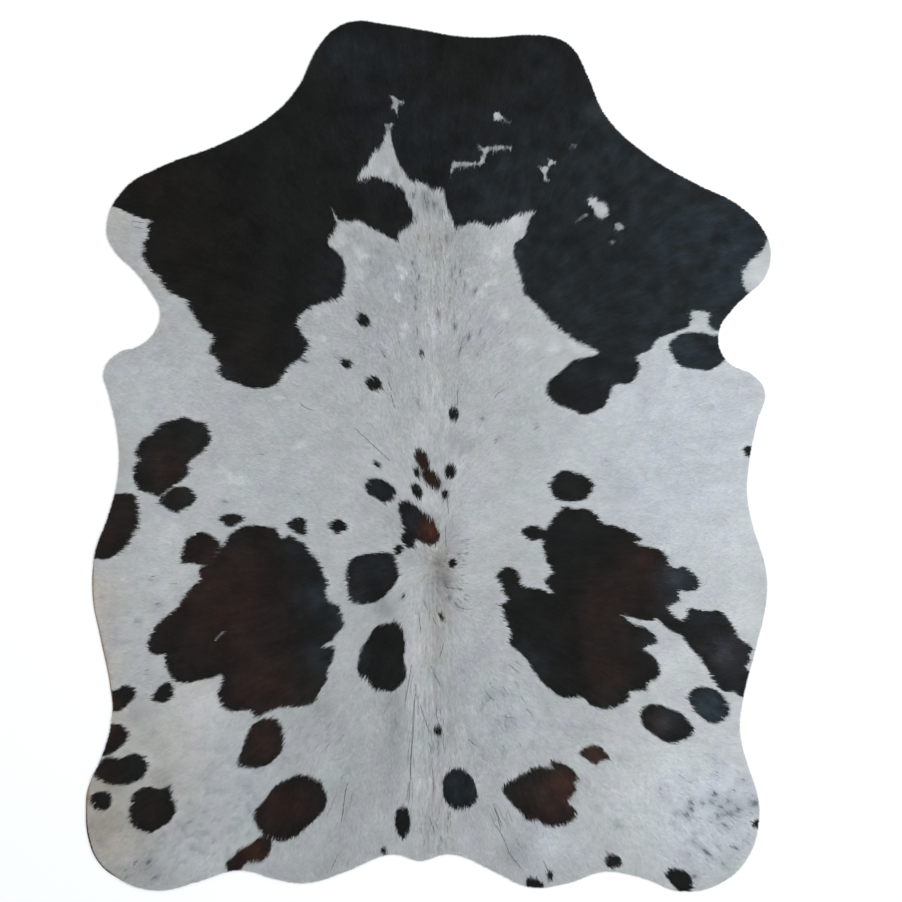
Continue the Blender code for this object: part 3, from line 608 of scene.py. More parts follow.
# more of them, scattered: the box they start in (cm across, cm up), how many, the shortest and
# the longest (cm), and how dark
hairDrifts = (
    ((-5.2, -3), (-84, -50), 16, 2, 6, 0.7), ((-2.6, 2.2), (-74, -52), 12, 1.5, 5, 0.6),
    ((-9.5, -6.5), (-62, -50), 6, 1.5, 3.5, 0.7), ((1.6, 5), (-70, -56), 16, 0.8, 2.4, 1),
    ((2, 5.6), (-94, -70), 20, 0.8, 2.6, 0.9), ((-1, 5), (-42, -30), 8, 0.8, 2.2, 0.7),
    ((6.8, 9.2), (-36, -20), 34, 0.5, 1.3, 1), ((-4.5, 7.5), (36, 62), 40, 0.8, 2.6, 0.7),
    ((8, 24), (-72, -46), 16, 0.8, 2, 0.8), ((-25, -18), (-98, -76), 7, 2, 5, 0.6),
    ((13, 24), (-96, -84), 7, 1.5, 4, 0.7), ((-76, -60), (-60, -30), 12, 0.6, 1.4, 0.6),
    ((-38, -20), (-78, -62), 14, 0.8, 2.2, 0.7), ((58, 77), (-99, -76), 26, 0.6, 1.5, 0.7),
    ((5, 15), (6, 34), 14, 0.8, 2.4, 0.5), ((-14, -6), (4, 30), 12, 0.8, 2.4, 0.45),
    ((-4.6, 4.6), (-96, -84), 10, 1, 3, 0.7),
)

# screen colours of the hair
hairTones = {
    "pale": linear(179, 181, 182),
    "paleWarm": linear(181, 175, 166),
    "paleCool": linear(178, 184, 191),
    "lilac": linear(177, 177, 190),
    "greenish": linear(173, 181, 179),
    "black": linear(23, 24, 23),
    "redBrown": linear(59, 37, 30),
    # the blue-grey of a painted sheen on the dark hair
    "blueSheen": linear(38, 47, 54),
    "blueGrey": linear(122, 129, 141),
    "brownGrey": linear(126, 122, 113),
    "fleck": linear(74, 79, 87),
    "longHair": linear(72, 73, 73),
}

patchLoops = [smoothLoop(landmarks) for landmarks in patches.values()]
streakLoops = {name: smoothLoop(landmarks) for name, landmarks in paleStreaks.items()}


def insideDark(places):
    # how far inside the dark hair each place lies, negative in the pale coat
    depth = np.full(len(places), -4 * cm)
    for loop in patchLoops:
        depth = np.maximum(depth, insideBy(places, loop, 4 * cm))
    for across, up, halfLong, halfWide, slant in spots:
        turn = math.radians(slant)
        off = places - (across * cm, up * cm)
        along = (off * (math.cos(turn), math.sin(turn))).sum(1) / (halfLong * cm)
        beside = (off * (-math.sin(turn), math.cos(turn))).sum(1) / (halfWide * cm)
        depth = np.maximum(depth, (1 - np.hypot(along, beside)) * halfWide * cm)
    for loop in streakLoops.values():
        depth = np.minimum(depth, 0.2 * mm - insideBy(places, loop, 1 * cm))
    return depth


combingDrifts = (
    # size of the drifts, seed, how far they turn the hair (radians)
    (5 * cm, 31, 0.34),
    (1.8 * cm, 37, 0.26),
)


def combing(places):
    # unit directions of the hair's tips, blended between the headings of the nearest two rows
    ups = sorted(combings)
    rows = []
    for up in ups:
        across, heading = np.array(combings[up], float).T
        turn = np.radians(heading)
        rows.append([np.interp(places[:, 0] / cm, across, part) for part in (np.cos(turn), np.sin(turn))])
    rows = np.array(rows)
    at = np.interp(places[:, 1] / cm, ups, np.arange(len(ups))).clip(0, len(ups) - 1.001)
    low = at.astype(int)
    part = (at - low)[:, None]
    which = np.arange(len(places))
    mixed = rows[low, :, which] * (1 - part) + rows[low + 1, :, which] * part
    angle = np.arctan2(mixed[:, 1], mixed[:, 0])
    for size, seed, turn in combingDrifts:
        angle += turn * (softNoise(places, size, seed) - 0.5)
    return np.stack([np.cos(angle), np.sin(angle)], 1)


def combedGrain(places, ways, size, reach, seed):
    # noise drawn out along the hair, with mean 0 and spread 1
    steps = np.linspace(-reach, reach, 7)
    total = sum(softNoise(places + ways * step, size, seed) for step in steps)
    return (total - total.mean()) / total.std()


def fleckShare(places, ways, spread=1.0):
    # the share of dark hair that the flecks put at each place, with their size times the spread
    bare = np.ones(len(places))
    for across, up, long, wide, share in flecks:
        off = places - (across * cm, up * cm)
        along = (off * ways).sum(1) / (long * spread * cm)
        beside = (off[:, 0] * ways[:, 1] - off[:, 1] * ways[:, 0]) / (wide * spread * cm)
        bare *= 1 - share * np.exp(-along ** 2 - beside ** 2)
    return 1 - bare


def acrossBack(places):
    # 1 on the back line, fading out to either side
    off = (places[:, 0] - backLine["across"]) / backLine["halfWidth"]
    return np.exp(-off * off)


def alongBack(places):
    # the same, between the withers and the tail
    behind = (backLine["withers"] - places[:, 1]) / backLine["fade"]
    return acrossBack(places) * np.clip(behind, 0, 1)


paleCoat = {
    "light": 1.01,
    "drift": (3.2 * cm, 41),     # size and seed of the lilac and greenish drifts
    "lilac": 0.32,               # the most of each
    "greenish": 0.5,
    "stir": (1.7 * cm, 211, 223),    # size and seeds of what makes the small tufts' borders wander
    "stirReach": 2.2 * cm,
    "strand": (4.5 * mm, 0.07, 193),     # width, width for its length and seed of the long strands
    "strandDepth": 0.20,
    "loin": (-30 * cm, 10 * cm, 0.25),   # the strands are full behind it, over a fade, and least before it
    "spot": (1.7 * cm, 53),      # size and seed of the soft spots
    "spotStart": 0.6,            # higher makes them fewer and smaller
    "spotShare": 0.34,
    "haloSpread": 2,             # of the soft shade about a fleck, for the fleck's size
    "haloShare": 0.55,
    "coreShare": 2.6,            # of a fleck's own dark, past the least share that shows
    "coreLeast": 0.7,
    "coreMost": 0.72,
    "softMost": 0.85,
    "fainterBack": (0.3, 0.4),   # along the back: the soft shades, and the flecks' own dark
}
paleClouds = (
    # size, seed, octaves, how much they change the light
    (2.4 * cm, 43, 3, 0.08),
    (6 * cm, 47, 2, 0.07),
)
paleGrain = (
    # width of the strands, their reach, seed, depth on the flanks, more of it along the back
    (3.2 * mm, 9 * mm, 151, 0.004, 0.014),
    (6.5 * mm, 22 * mm, 157, 0.008, 0.018),
)
tuftGrain = (
    # darker flecks, then lighter tufts, most of them about the withers: width, reach, seed,
    # where they start and stop growing (spreads), depth everywhere, more of it in busy places
    (5 * mm, 6 * mm, 163, 1.2, 1.2, -0.025, -0.09),
    (9 * mm, 9 * mm, 167, 1.1, 1.0, 0.018, 0.06),
)


def paleLight(places, ways, back):
    # how light the pale hair is, 1 for its plain tone
    size, *seeds = paleCoat["stir"]
    stir = np.stack([softNoise(places, size, seed, 2) - 0.5 for seed in seeds], 1) * paleCoat["stirReach"]
    light = paleCoat["light"] + blobs(places, lightPlaces) + blobs(places + stir, paleTufts, 2)
    light += band(places, paleRidge) + band(places, shadedSide)
    for size, seed, octaves, depth in paleClouds:
        light += depth * (softNoise(places, size, seed, octaves) - 0.5)
    for size, reach, seed, depth, more in paleGrain:
        light += (depth + more * back) * combedGrain(places, ways, size, reach, seed)
    start, fade, least = paleCoat["loin"]
    loin = back * np.clip((start - places[:, 1]) / fade, least, 1)
    size, slim, seed = paleCoat["strand"]
    light += paleCoat["strandDepth"] * loin * (softNoise(places * (1, slim), size, seed, 2) - 0.5)
    busy = np.clip(blobs(places, busyPlaces), 0, 1.2)
    for size, reach, seed, start, most, depth, more in tuftGrain:
        grown = np.clip(combedGrain(places, ways, size, reach, seed) - start, 0, most)
        light += (depth + more * busy) * grown
    return light


def paleTone(places, ways):
    # colour of the pale hair
    warm = blobs(places, warmPlaces)
    drift = np.clip(3 * (softNoise(places, *paleCoat["drift"], 2) - 0.5), -1, 1)
    shares = {
        "paleWarm": np.clip(warm, 0, 1),
        "paleCool": np.clip(-warm, 0, 1),
        "lilac": paleCoat["lilac"] * np.maximum(drift, 0),
        "greenish": paleCoat["greenish"] * np.maximum(-drift, 0),
    }
    tone = np.tile(hairTones["pale"], (len(places), 1))
    for name, share in shares.items():
        tone += share[:, None] * (hairTones[name] - hairTones["pale"])
    back = alongBack(places)
    tone *= (paleLight(places, ways, back) ** 2)[:, None]
    # soft spots and the shades about the flecks, then the flecks themselves
    mottled = (5 * (softNoise(places, *paleCoat["spot"], 2) - paleCoat["spotStart"])).clip(0, 1)
    soft = paleCoat["spotShare"] * np.clip(blobs(places, spottyPlaces), 0, 1.2) * mottled
    soft += paleCoat["haloShare"] * fleckShare(places, ways, paleCoat["haloSpread"])
    core = paleCoat["coreShare"] * fleckShare(places, ways) - paleCoat["coreLeast"]
    soft = soft.clip(0, paleCoat["softMost"])[:, None]
    core = core.clip(0, paleCoat["coreMost"])[:, None]
    back = back[:, None]
    shade = hairTones["blueGrey"] * (1 - back) + hairTones["brownGrey"] * back
    softFainter, coreFainter = paleCoat["fainterBack"]
    tone += soft * (1 - softFainter * back) * (shade - tone)
    return tone + core * (1 - coreFainter * back) * (hairTones["fleck"] - tone)


darkCoat = {
    "cloud": (4 * cm, 67),               # size and seed of the lighter and deeper clouds
    "cloudLight": (0.55, 0.9),           # the least of it, and more in the lightest
    "strand": (6 * mm, 22 * mm, 173),    # width, reach and seed of the fine strands
    "strandDepth": 0.07,
}
darkTints = {
    # where, size and seed of the drifts, least tint and more in them, the most, share of it all
    "redBrown": (brownPlaces, 3 * cm, 59, 0.6, 0.8, 2, 0.8),
    # the blue tint is painted sheen
    "blueSheen": (blueSheenPlaces, 2.4 * cm, 61, 0.05, 1.9, 1.6, 1),
}


def darkTone(places, ways):
    # colour of the dark hair, with its own red-brown tints and a painted blue sheen
    tone = np.tile(hairTones["black"], (len(places), 1))
    for name, (rows, size, seed, least, more, most, share) in darkTints.items():
        tint = blobs(places, rows) * (least + more * softNoise(places, size, seed, 2))
        tone += share * tint.clip(0, most)[:, None] * (hairTones[name] - hairTones["black"])
    least, more = darkCoat["cloudLight"]
    light = 1 + darkCoat["strandDepth"] * combedGrain(places, ways, *darkCoat["strand"])
    light *= least + more * softNoise(places, *darkCoat["cloud"], 3)
    return tone * (light * (1 + blobs(places, deepPlaces)))[:, None]


class Line:
    # a socket that takes part in Python sums: each operator adds a Math node
    def __init__(self, finish, socket):
        self.finish, self.socket = finish, socket

    def sum(self, operation, left, right):
        return self.finish.node("ShaderNodeMath", {"operation": operation}, {0: left, 1: right})

    def __add__(self, other):
        return self.sum("ADD", self, other)

    def __radd__(self, other):
        return self.sum("ADD", other, self)

    def __sub__(self, other):
        return self.sum("SUBTRACT", self, other)

    def __rsub__(self, other):
        return self.sum("SUBTRACT", other, self)

    def __mul__(self, other):
        return self.sum("MULTIPLY", self, other)

    def __rmul__(self, other):
        return self.sum("MULTIPLY", other, self)

    def __truediv__(self, other):
        return self.sum("DIVIDE", self, other)

    def __rtruediv__(self, other):
        return self.sum("DIVIDE", other, self)

    def clamped(self):
        return self.finish.node("ShaderNodeClamp", {}, {"Value": self})


class Finish:
    # one material with its Principled shader, and the sockets that are the same all over
    def __init__(self, name, plain):
        self.material = bpy.data.materials.new(name)
        self.material.use_nodes = True
        self.tree = self.material.node_tree
        self.shader = self.tree.nodes["Principled BSDF"]
        for socket, value in plain.items():
            self.shader.inputs[socket].default_value = value

    def node(self, kind, settings, values, out=0):
        made = self.tree.nodes.new(kind)
        for name, value in settings.items():
            setattr(made, name, value)
        for name, value in values.items():
            self.put(made.inputs[name], value)
        return Line(self, made.outputs[out])

    def put(self, socket, value):
        if isinstance(value, Line):
            self.tree.links.new(value.socket, socket)
        else:
            socket.default_value = value

    def feed(self, name, value):
        self.put(self.shader.inputs[name], value)

    def blend(self, share, first, second, way="MIX"):
        # colours from first to second
        return self.node("ShaderNodeMix", {"data_type": "RGBA", "blend_type": way, "clamp_factor": True},
                         {0: share, 6: first, 7: second}, out=2)

    def stored(self, name, out="Color"):
        return self.node("ShaderNodeAttribute", {"attribute_name": name}, {}, out=out)

    def place(self):
        return self.node("ShaderNodeTexCoord", {}, {}, out="Object")

    def noise(self, vector, scale, detail=3.0, rough=0.5):
        return self.node("ShaderNodeTexNoise", {},
                         {"Vector": vector, "Scale": scale, "Detail": detail, "Roughness": rough})

    def bump(self, height, strength, distance):
        return self.node("ShaderNodeBump", {},
                         {"Height": height, "Strength": strength, "Distance": distance}, out="Normal")

    def grained(self, colour, grain, least, more):
        # a colour times the grain's light: the least of it, and more where the grain is high
        return self.blend(1.0, colour, (least + grain * more).clamped(), "MULTIPLY")


hairGrain = {
    "lockGloss": 0.09,
    "lockLight": (0.90, 0.18),         # the least, and more in the fine strands of a lock
    "lockRoughness": (0.52, 0.2),
    "underGloss": 0.12,
    "underRoughness": 0.8,
    "underTufts": 700.0,               # the fineness of the under hair's tufts
    "underLight": (0.80, 0.3),         # and their light, the same way
    "underBump": (0.4, 0.8 * mm),      # strength and height
    "underRagged": (260.0, 5 * mm),    # fineness and spread of its border between dark and pale
    "underBorder": 2 * mm,
}


def makeHairFinish():
    # lying hair: each lock's own colour, with fine strands across its width
    finish = Finish("lyingHair", {"Specular IOR Level": hairGrain["lockGloss"]})
    fine = finish.noise(finish.stored("strand", "Vector"), 1.0, 1.0)
    least, more = hairGrain["lockRoughness"]
    finish.feed("Base Color", finish.grained(finish.stored("hairTone"), fine, *hairGrain["lockLight"]))
    finish.feed("Roughness", least + fine * more)
    return finish.material


def makeUnderFinish():
    # the dense short hair below the locks, pale or dark by how far it lies inside a patch
    plain = {"Roughness": hairGrain["underRoughness"], "Specular IOR Level": hairGrain["underGloss"]}
    finish = Finish("underHair", plain)
    place = finish.place()
    fineness, spread = hairGrain["underRagged"]
    ragged = finish.noise(place, fineness, 2.0) - 0.5
    depth = finish.stored("insideDark", "Fac") + ragged * spread
    dark = (depth / hairGrain["underBorder"] + 0.5).clamped()
    tone = finish.blend(dark, finish.stored("paleTone"), finish.stored("darkTone"))
    tufts = finish.noise(place, hairGrain["underTufts"], 3.0, 0.6)
    finish.feed("Base Color", finish.grained(tone, tufts, *hairGrain["underLight"]))
    finish.feed("Normal", finish.bump(tufts, *hairGrain["underBump"]))
    return finish.material


leatherTones = {
    "suedePale": (*linear(196, 178, 150), 1),
    "suedeBrown": (*linear(170, 146, 116), 1),
    "cutDark": (*linear(120, 92, 70), 1),
    "cutPale": (*linear(168, 140, 112), 1),
    "stain": (*linear(74, 46, 34), 1),
    "stainPlace": (-79 * cm, -95 * cm, 0),    # the left hind corner is stained darker
    "stainReach": 9 * cm,
}


def makeSuedeFinish():
    # the scraped flesh side: fibres, faint scraping marks and paler and browner clouds
    finish = Finish("fleshSuede", {"Specular IOR Level": 0.2})
    place = finish.place()
    clouds = finish.noise(place, 5.0, 4.0)
    fibres = finish.noise(place, 900.0, 4.0, 0.65)
    streaked = finish.node("ShaderNodeMapping", {}, {"Vector": place, "Scale": (14.0, 160.0, 1.0)})
    scraped = finish.noise(streaked, 1.0, 3.0)
    base = finish.blend(clouds, leatherTones["suedePale"], leatherTones["suedeBrown"])
    base = finish.grained(base, fibres, 0.78, 0.36)
    finish.feed("Base Color", finish.grained(base, scraped, 0.86, 0.26))
    finish.feed("Roughness", 0.84 + fibres * 0.14)
    finish.feed("Normal", finish.bump(fibres + scraped * 0.6, 0.45, 0.6 * mm))
    return finish.material


def makeCutFinish():
    # the knife-cut edge of the leather, and the skin that shows where the hair stops short of it
    finish = Finish("cutLeather", {"Roughness": 0.75})
    place = finish.place()
    layers = finish.node("ShaderNodeMapping", {}, {"Vector": place, "Scale": (60.0, 60.0, 1800.0)})
    grain = finish.noise(layers, 1.0, 3.0)
    tanned = finish.blend(grain, leatherTones["cutDark"], leatherTones["cutPale"])
    off = finish.node("ShaderNodeVectorMath", {"operation": "DISTANCE"},
                      {0: place, 1: leatherTones["stainPlace"]}, "Value")
    stained = (1.6 - off / leatherTones["stainReach"]).clamped()
    finish.feed("Base Color", finish.blend(stained, tanned, leatherTones["stain"]))
    finish.feed("Normal", finish.bump(grain, 0.4, 0.4 * mm))
    return finish.material


def newPiece(name, mesh, *materials):
    piece = bpy.data.objects.new(name, mesh)
    bpy.context.scene.collection.objects.link(piece)
    for material in materials:
        mesh.materials.append(material)
    return piece


def storeTone(mesh, name, colours):
    layer = mesh.attributes.new(name, "FLOAT_COLOR", "POINT")
    full = np.ones((len(mesh.vertices), 4), np.float32)
    full[:, :3] = colours
    layer.data.foreach_set("color", full.ravel())


def storeVectors(mesh, name, vectors):
    layer = mesh.attributes.new(name, "FLOAT_VECTOR", "POINT")
    layer.data.foreach_set("vector", vectors.astype(np.float32).ravel())


def flatPlaces(places):
    # places as seen from above, from 0 to 1 over their own box with a margin
    low, high = places.min(0), places.max(0)
    return 0.02 + 0.96 * (places - low) / (high - low)


def storeFlatMap(mesh, corners):
    layer = mesh.uv_layers.new(name="OFBake")
    layer.data.foreach_set("uv", corners.astype(np.float32).ravel())


leatherCut = {
    "thickness": 2.5 * mm,
    "edgeStep": 6 * mm,      # between points along the cut edge
    "softening": 0.35 * mm,  # the knife's edge is a little rubbed
}


def makeLeather():
    bm = bmesh.new()
    loop = evenLoop(cutEdge, leatherCut["edgeStep"])
    face = bm.faces.new([bm.verts.new((x, y, 0)) for x, y in loop])
    grown = bmesh.ops.extrude_face_region(bm, geom=[face])["geom"]
    risen = [item for item in grown if isinstance(item, bmesh.types.BMVert)]
    bmesh.ops.translate(bm, verts=risen, vec=(0, 0, leatherCut["thickness"]))
    rims = [edge for edge in bm.edges if abs(edge.verts[0].co.z - edge.verts[1].co.z) < 1e-6]
    bmesh.ops.bevel(bm, geom=rims, offset=leatherCut["softening"], segments=2, affect="EDGES")
    bmesh.ops.recalc_face_normals(bm, faces=bm.faces)
    for face in bm.faces:
        face.smooth = True
        face.material_index = 0 if len(face.verts) > 4 and face.normal.z < 0 else 1
    bmesh.ops.triangulate(bm, faces=[face for face in bm.faces if len(face.verts) > 4])
    mesh = bpy.data.meshes.new("leather")
    bm.to_mesh(mesh)
    bm.free()
    mesh.set_sharp_from_angle(angle=math.radians(50))
    return newPiece("leather", mesh, makeSuedeFinish(), makeCutFinish())


leather = makeLeather()
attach(leather, "root")
print("leather made:", len(leather.data.polygons), "faces")


underHair = {
    "pitch": 8 * mm,
    "jitter": 0.25,          # of a point about its place, for the pitch
    "foot": 2.3 * mm,        # it starts just below the leather's upper face
    "share": 0.68,           # of the lying coat's depth
    "inset": 0.5 * mm,       # from the cut edge
    "shelf": 3.5 * mm,       # a second row of points lies this far inside the first
    "field": 10 * mm,        # and the rest at least this far inside the cut edge
    "lumps": 0.6 * mm,
    "lumpSize": 12 * mm,
    "rimDrop": 0.85,         # how much thinner it is at its edge
    "rimReach": 4 * mm,
    "palePaintedShade": 0.95,       # its tones beside the locks' own, darker: painted shade, as it lies in the gaps under the locks
    "darkPaintedShade": 0.85,
}
coatTop = {
    "depth": 3.6 * mm,       # the hair as it lies on the flanks
    "backExtra": 1.9 * mm,
    "swell": 0.4 * mm,
    "swellLength": 9 * cm,
}
bareRim = (
    # lowest and highest place on the left edge, and how much skin the hair leaves bare there
    (-63 * cm, -25 * cm, 3.5 * mm),
    (-103 * cm, -78 * cm, 5.5 * mm),
)


def lyingDepth(places):
    # how high the lying hair reaches over the leather, as in the solid
    swell = np.sin(places[:, 0] / coatTop["swellLength"]) * np.cos(places[:, 1] / coatTop["swellLength"])
    return coatTop["depth"] + coatTop["backExtra"] * acrossBack(places) + coatTop["swell"] * swell


def bareWidth(places):
    # how far the hair stops short of the cut edge
    up = places[:, 1]
    width = np.zeros(len(places))
    for low, high, widest in bareRim:
        width += widest * np.clip(np.minimum(up - low, high - up) / (3 * cm), 0, 1)
    uneven = (0.4 + 0.9 * softNoise(places, 4 * cm, 73)).clip(0, 1)
    return width * (places[:, 0] < -60 * cm) * uneven


def underHeight(places):
    inside = np.maximum(insideEdge(places) - underHair["inset"] - bareWidth(places), 0)
    lumps = underHair["lumps"] * (softNoise(places, underHair["lumpSize"], 71, 2) - 0.5)
    full = underHair["share"] * lyingDepth(places) + lumps
    drop = underHair["rimDrop"] * np.exp(-inside / underHair["rimReach"])
    return leatherCut["thickness"] + full * (1 - drop)


def makeUnderHair():
    rim = evenLoop(cutEdge, underHair["pitch"])
    way = np.roll(rim, -1, 0) - np.roll(rim, 1, 0)
    inward = np.stack([-way[:, 1], way[:, 0]], 1) / np.hypot(*way.T)[:, None]
    rim = rim + inward * (underHair["inset"] + bareWidth(rim))[:, None]
    shelf = rim + inward * underHair["shelf"]
    rng = np.random.default_rng(5)
    xs = np.arange(hideLow.x, hideHigh.x, underHair["pitch"])
    ys = np.arange(hideLow.y, hideHigh.y, underHair["pitch"])
    field = np.stack(np.meshgrid(xs, ys), -1).reshape(-1, 2)
    field += rng.uniform(-underHair["jitter"], underHair["jitter"], field.shape) * underHair["pitch"]
    field = field[insideEdge(field) > underHair["field"]]
    points = [Vector(place) for place in np.vstack([rim, shelf, field])]
    places, _, faces = delaunay_2d_cdt(points, [], [list(range(len(rim)))], 1, 1e-6)[:3]
    places = np.array(places)
    count = len(rim)
    top = np.column_stack([places, underHeight(places)])
    foot = np.column_stack([places[:count], np.full(count, underHair["foot"])])
    ring = np.arange(count)
    after = (ring + 1) % count
    shift = len(top)
    walls = np.column_stack([ring, shift + ring, shift + after, after]).tolist()
    mesh = bpy.data.meshes.new("underHair")
    underside = (shift + ring[::-1]).tolist()
    faces = [list(face) for face in faces] + walls + [underside]
    mesh.from_pydata(np.vstack([top, foot]).tolist(), [], faces)
    bm = bmesh.new()
    bm.from_mesh(mesh)
    bmesh.ops.recalc_face_normals(bm, faces=bm.faces)
    bmesh.ops.triangulate(bm, faces=[face for face in bm.faces if len(face.verts) > 4])
    bm.to_mesh(mesh)
    bm.free()
    mesh.shade_smooth()
    flat = np.array([vert.co[:2] for vert in mesh.vertices])
    ways = combing(flat)
    # painted shade: the under hair is darkened as though shadowed by the locks over it
    storeTone(mesh, "paleTone", paleTone(flat, ways) * underHair["palePaintedShade"])
    storeTone(mesh, "darkTone", darkTone(flat, ways) * underHair["darkPaintedShade"])
    layer = mesh.attributes.new("insideDark", "FLOAT", "POINT")
    layer.data.foreach_set("value", insideDark(flat).astype(np.float32))
    # seen from above for the flat map, with the floor and walls in a corner of it
    corners = flatPlaces(flat)[[loop.vertex_index for loop in mesh.loops]]
    upward = [face.normal.z > 0.3 for face in mesh.polygons for _ in face.vertices]
    storeFlatMap(mesh, np.where(np.array(upward)[:, None], corners, corners * 0.01))
    return newPiece("underHair", mesh, makeUnderFinish())


underCoat = makeUnderHair()
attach(underCoat, "root")
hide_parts("hide")
print("under hair made:", len(underCoat.data.polygons), "faces")


locks = {
    "pitch": 4.8 * mm,             # between tufts
    "rowPitch": 0.87,              # for the pitch
    "jitter": 0.42,                # of a tuft about its place, for the pitch
    "fromEdge": 1.2 * mm,          # the outermost tufts, and the roots of their locks
    "rootsFromEdge": 0.8 * mm,
    "width": (2.7 * mm, 1.7 * mm, 1.2 * mm),    # each tuft has one broad lock and two narrow ones
    "length": (17 * mm, 19 * mm, 21 * mm),
    "longerBack": 0.3,             # along the back they are longer and narrower
    "slimmerBack": 0.2,
    "whorl": (2.4, -26.5, 4.5, 0.5),    # across, up, radius (cm), and how much shorter they are
    "shortened": 0.55,             # about the thin pale streaks
    "sunk": 0.5 * mm,              # of the roots in the under hair
    "gather": 0.35,                # tips lie this much closer together than their roots
    "shown": 0.62,                 # the part of a lock that shows lies this far along it
    "overhang": 2.5 * mm,          # past the cut edge, but not where it is bare by more than this
    "overhangBare": 2 * mm,
    "shortest": 0.15,              # of a lock held back at the edge, for its length
    "edgeDrop": (0.65, 5 * mm),    # share that the coat's depth falls by over the edge, and over what reach
    "border": 3 * mm,              # over which dark hair turns pale
    "lookAhead": (18 * mm, 8 * mm),     # where a tuft looks whether it runs into dark hair
    "ragged": (4 * mm, 8 * mm, 181),    # width, reach and seed of the tufts along the border
    "raggedAt": 12 * mm,                # so far ahead of the roots
    "raggedBy": (0.6 * mm, 0.8 * mm),   # spread of the border, and more of it over dark hair
    "brightTips": 0.12,            # of pale hair that lies over dark, up to a reach from it
    "brightReach": 7 * mm,
    "strays": 0.2,                 # dark locks in a fleck, for its share
    "ridge": 0.10,                 # height of a lock's ridge for its width
    "ridgeStart": 0.4,             # how far along it starts, for the width
    "ridgeLift": 0.2 * mm,
    "rounding": 0.22,              # how far the normals lean out to a lock's sides
    "lean": (-0.05, -0.05, -0.05, 0.10),    # and along it, at its two roots, ridge and tip
    "fade": (0.94, 0.94, 0.95, 1.0),        # tone at the same four points: painted shade, darker at the roots that lie under other locks
    "bands": ("locksNeck", "locksShoulders", "locksFlanks", "locksHips", "locksRump"),
}
# how much they differ from one another: spreads of the random draws
lockSpread = {
    "turn": 0.07,              # radians, of a tuft
    "lean": (0.05, 0.03),      # of its first lock, and more for each further one
    "reach": 0.14,             # shares, of a tuft's length and of each lock's
    "length": 0.10,
    "width": 0.18,
    "root": 1.6 * mm,
    "tip": 0.8 * mm,
    "height": 0.12 * mm,
    "border": 1.3 * mm,
    "light": 0.010,            # of a tuft
    "paleLight": (0.008, 0.012),    # of a pale lock, and more along the back
    "darkLight": 0.10,
}


def layTufts():
    pitch = locks["pitch"]
    xs = np.arange(hideLow.x, hideHigh.x, pitch)
    ys = np.arange(hideLow.y, hideHigh.y, pitch * locks["rowPitch"])
    x, y = np.meshgrid(xs, ys)
    x = x + (np.arange(len(ys)) % 2)[:, None] * pitch / 2
    tufts = np.stack([x, y], -1).reshape(-1, 2)
    tufts += np.random.default_rng(7).uniform(-locks["jitter"], locks["jitter"], tufts.shape) * pitch
    return tufts[insideEdge(tufts) > locks["fromEdge"] + bareWidth(tufts)]


def tuftReach(tufts, back):
    # how much longer or shorter than plain the hair of each tuft is
    reach = (1 + locks["longerBack"] * back) * (1 - blobs(tufts, [locks["whorl"]]))
    thin = [loop for name, loop in streakLoops.items() if name != "shoulderBlob"]
    beside = np.max([insideBy(tufts, loop, 2 * cm) for loop in thin], 0)
    return reach * (1 - locks["shortened"] * (1.5 + beside / cm).clip(0, 1))


def heldBack(root, tip):
    # tips drawn back to what the cut edge and the bare rim allow
    start, end = insideEdge(root), insideEdge(tip)
    bare = bareWidth(tip)
    limit = bare - locks["overhang"] * (1 - bare / locks["overhangBare"]).clip(0, 1)
    kept = np.where(end < limit, np.maximum(start - limit, 1 * mm) / np.maximum(start - end, 1 * mm), 1)
    return root + (tip - root) * kept.clip(locks["shortest"], 1)[:, None]


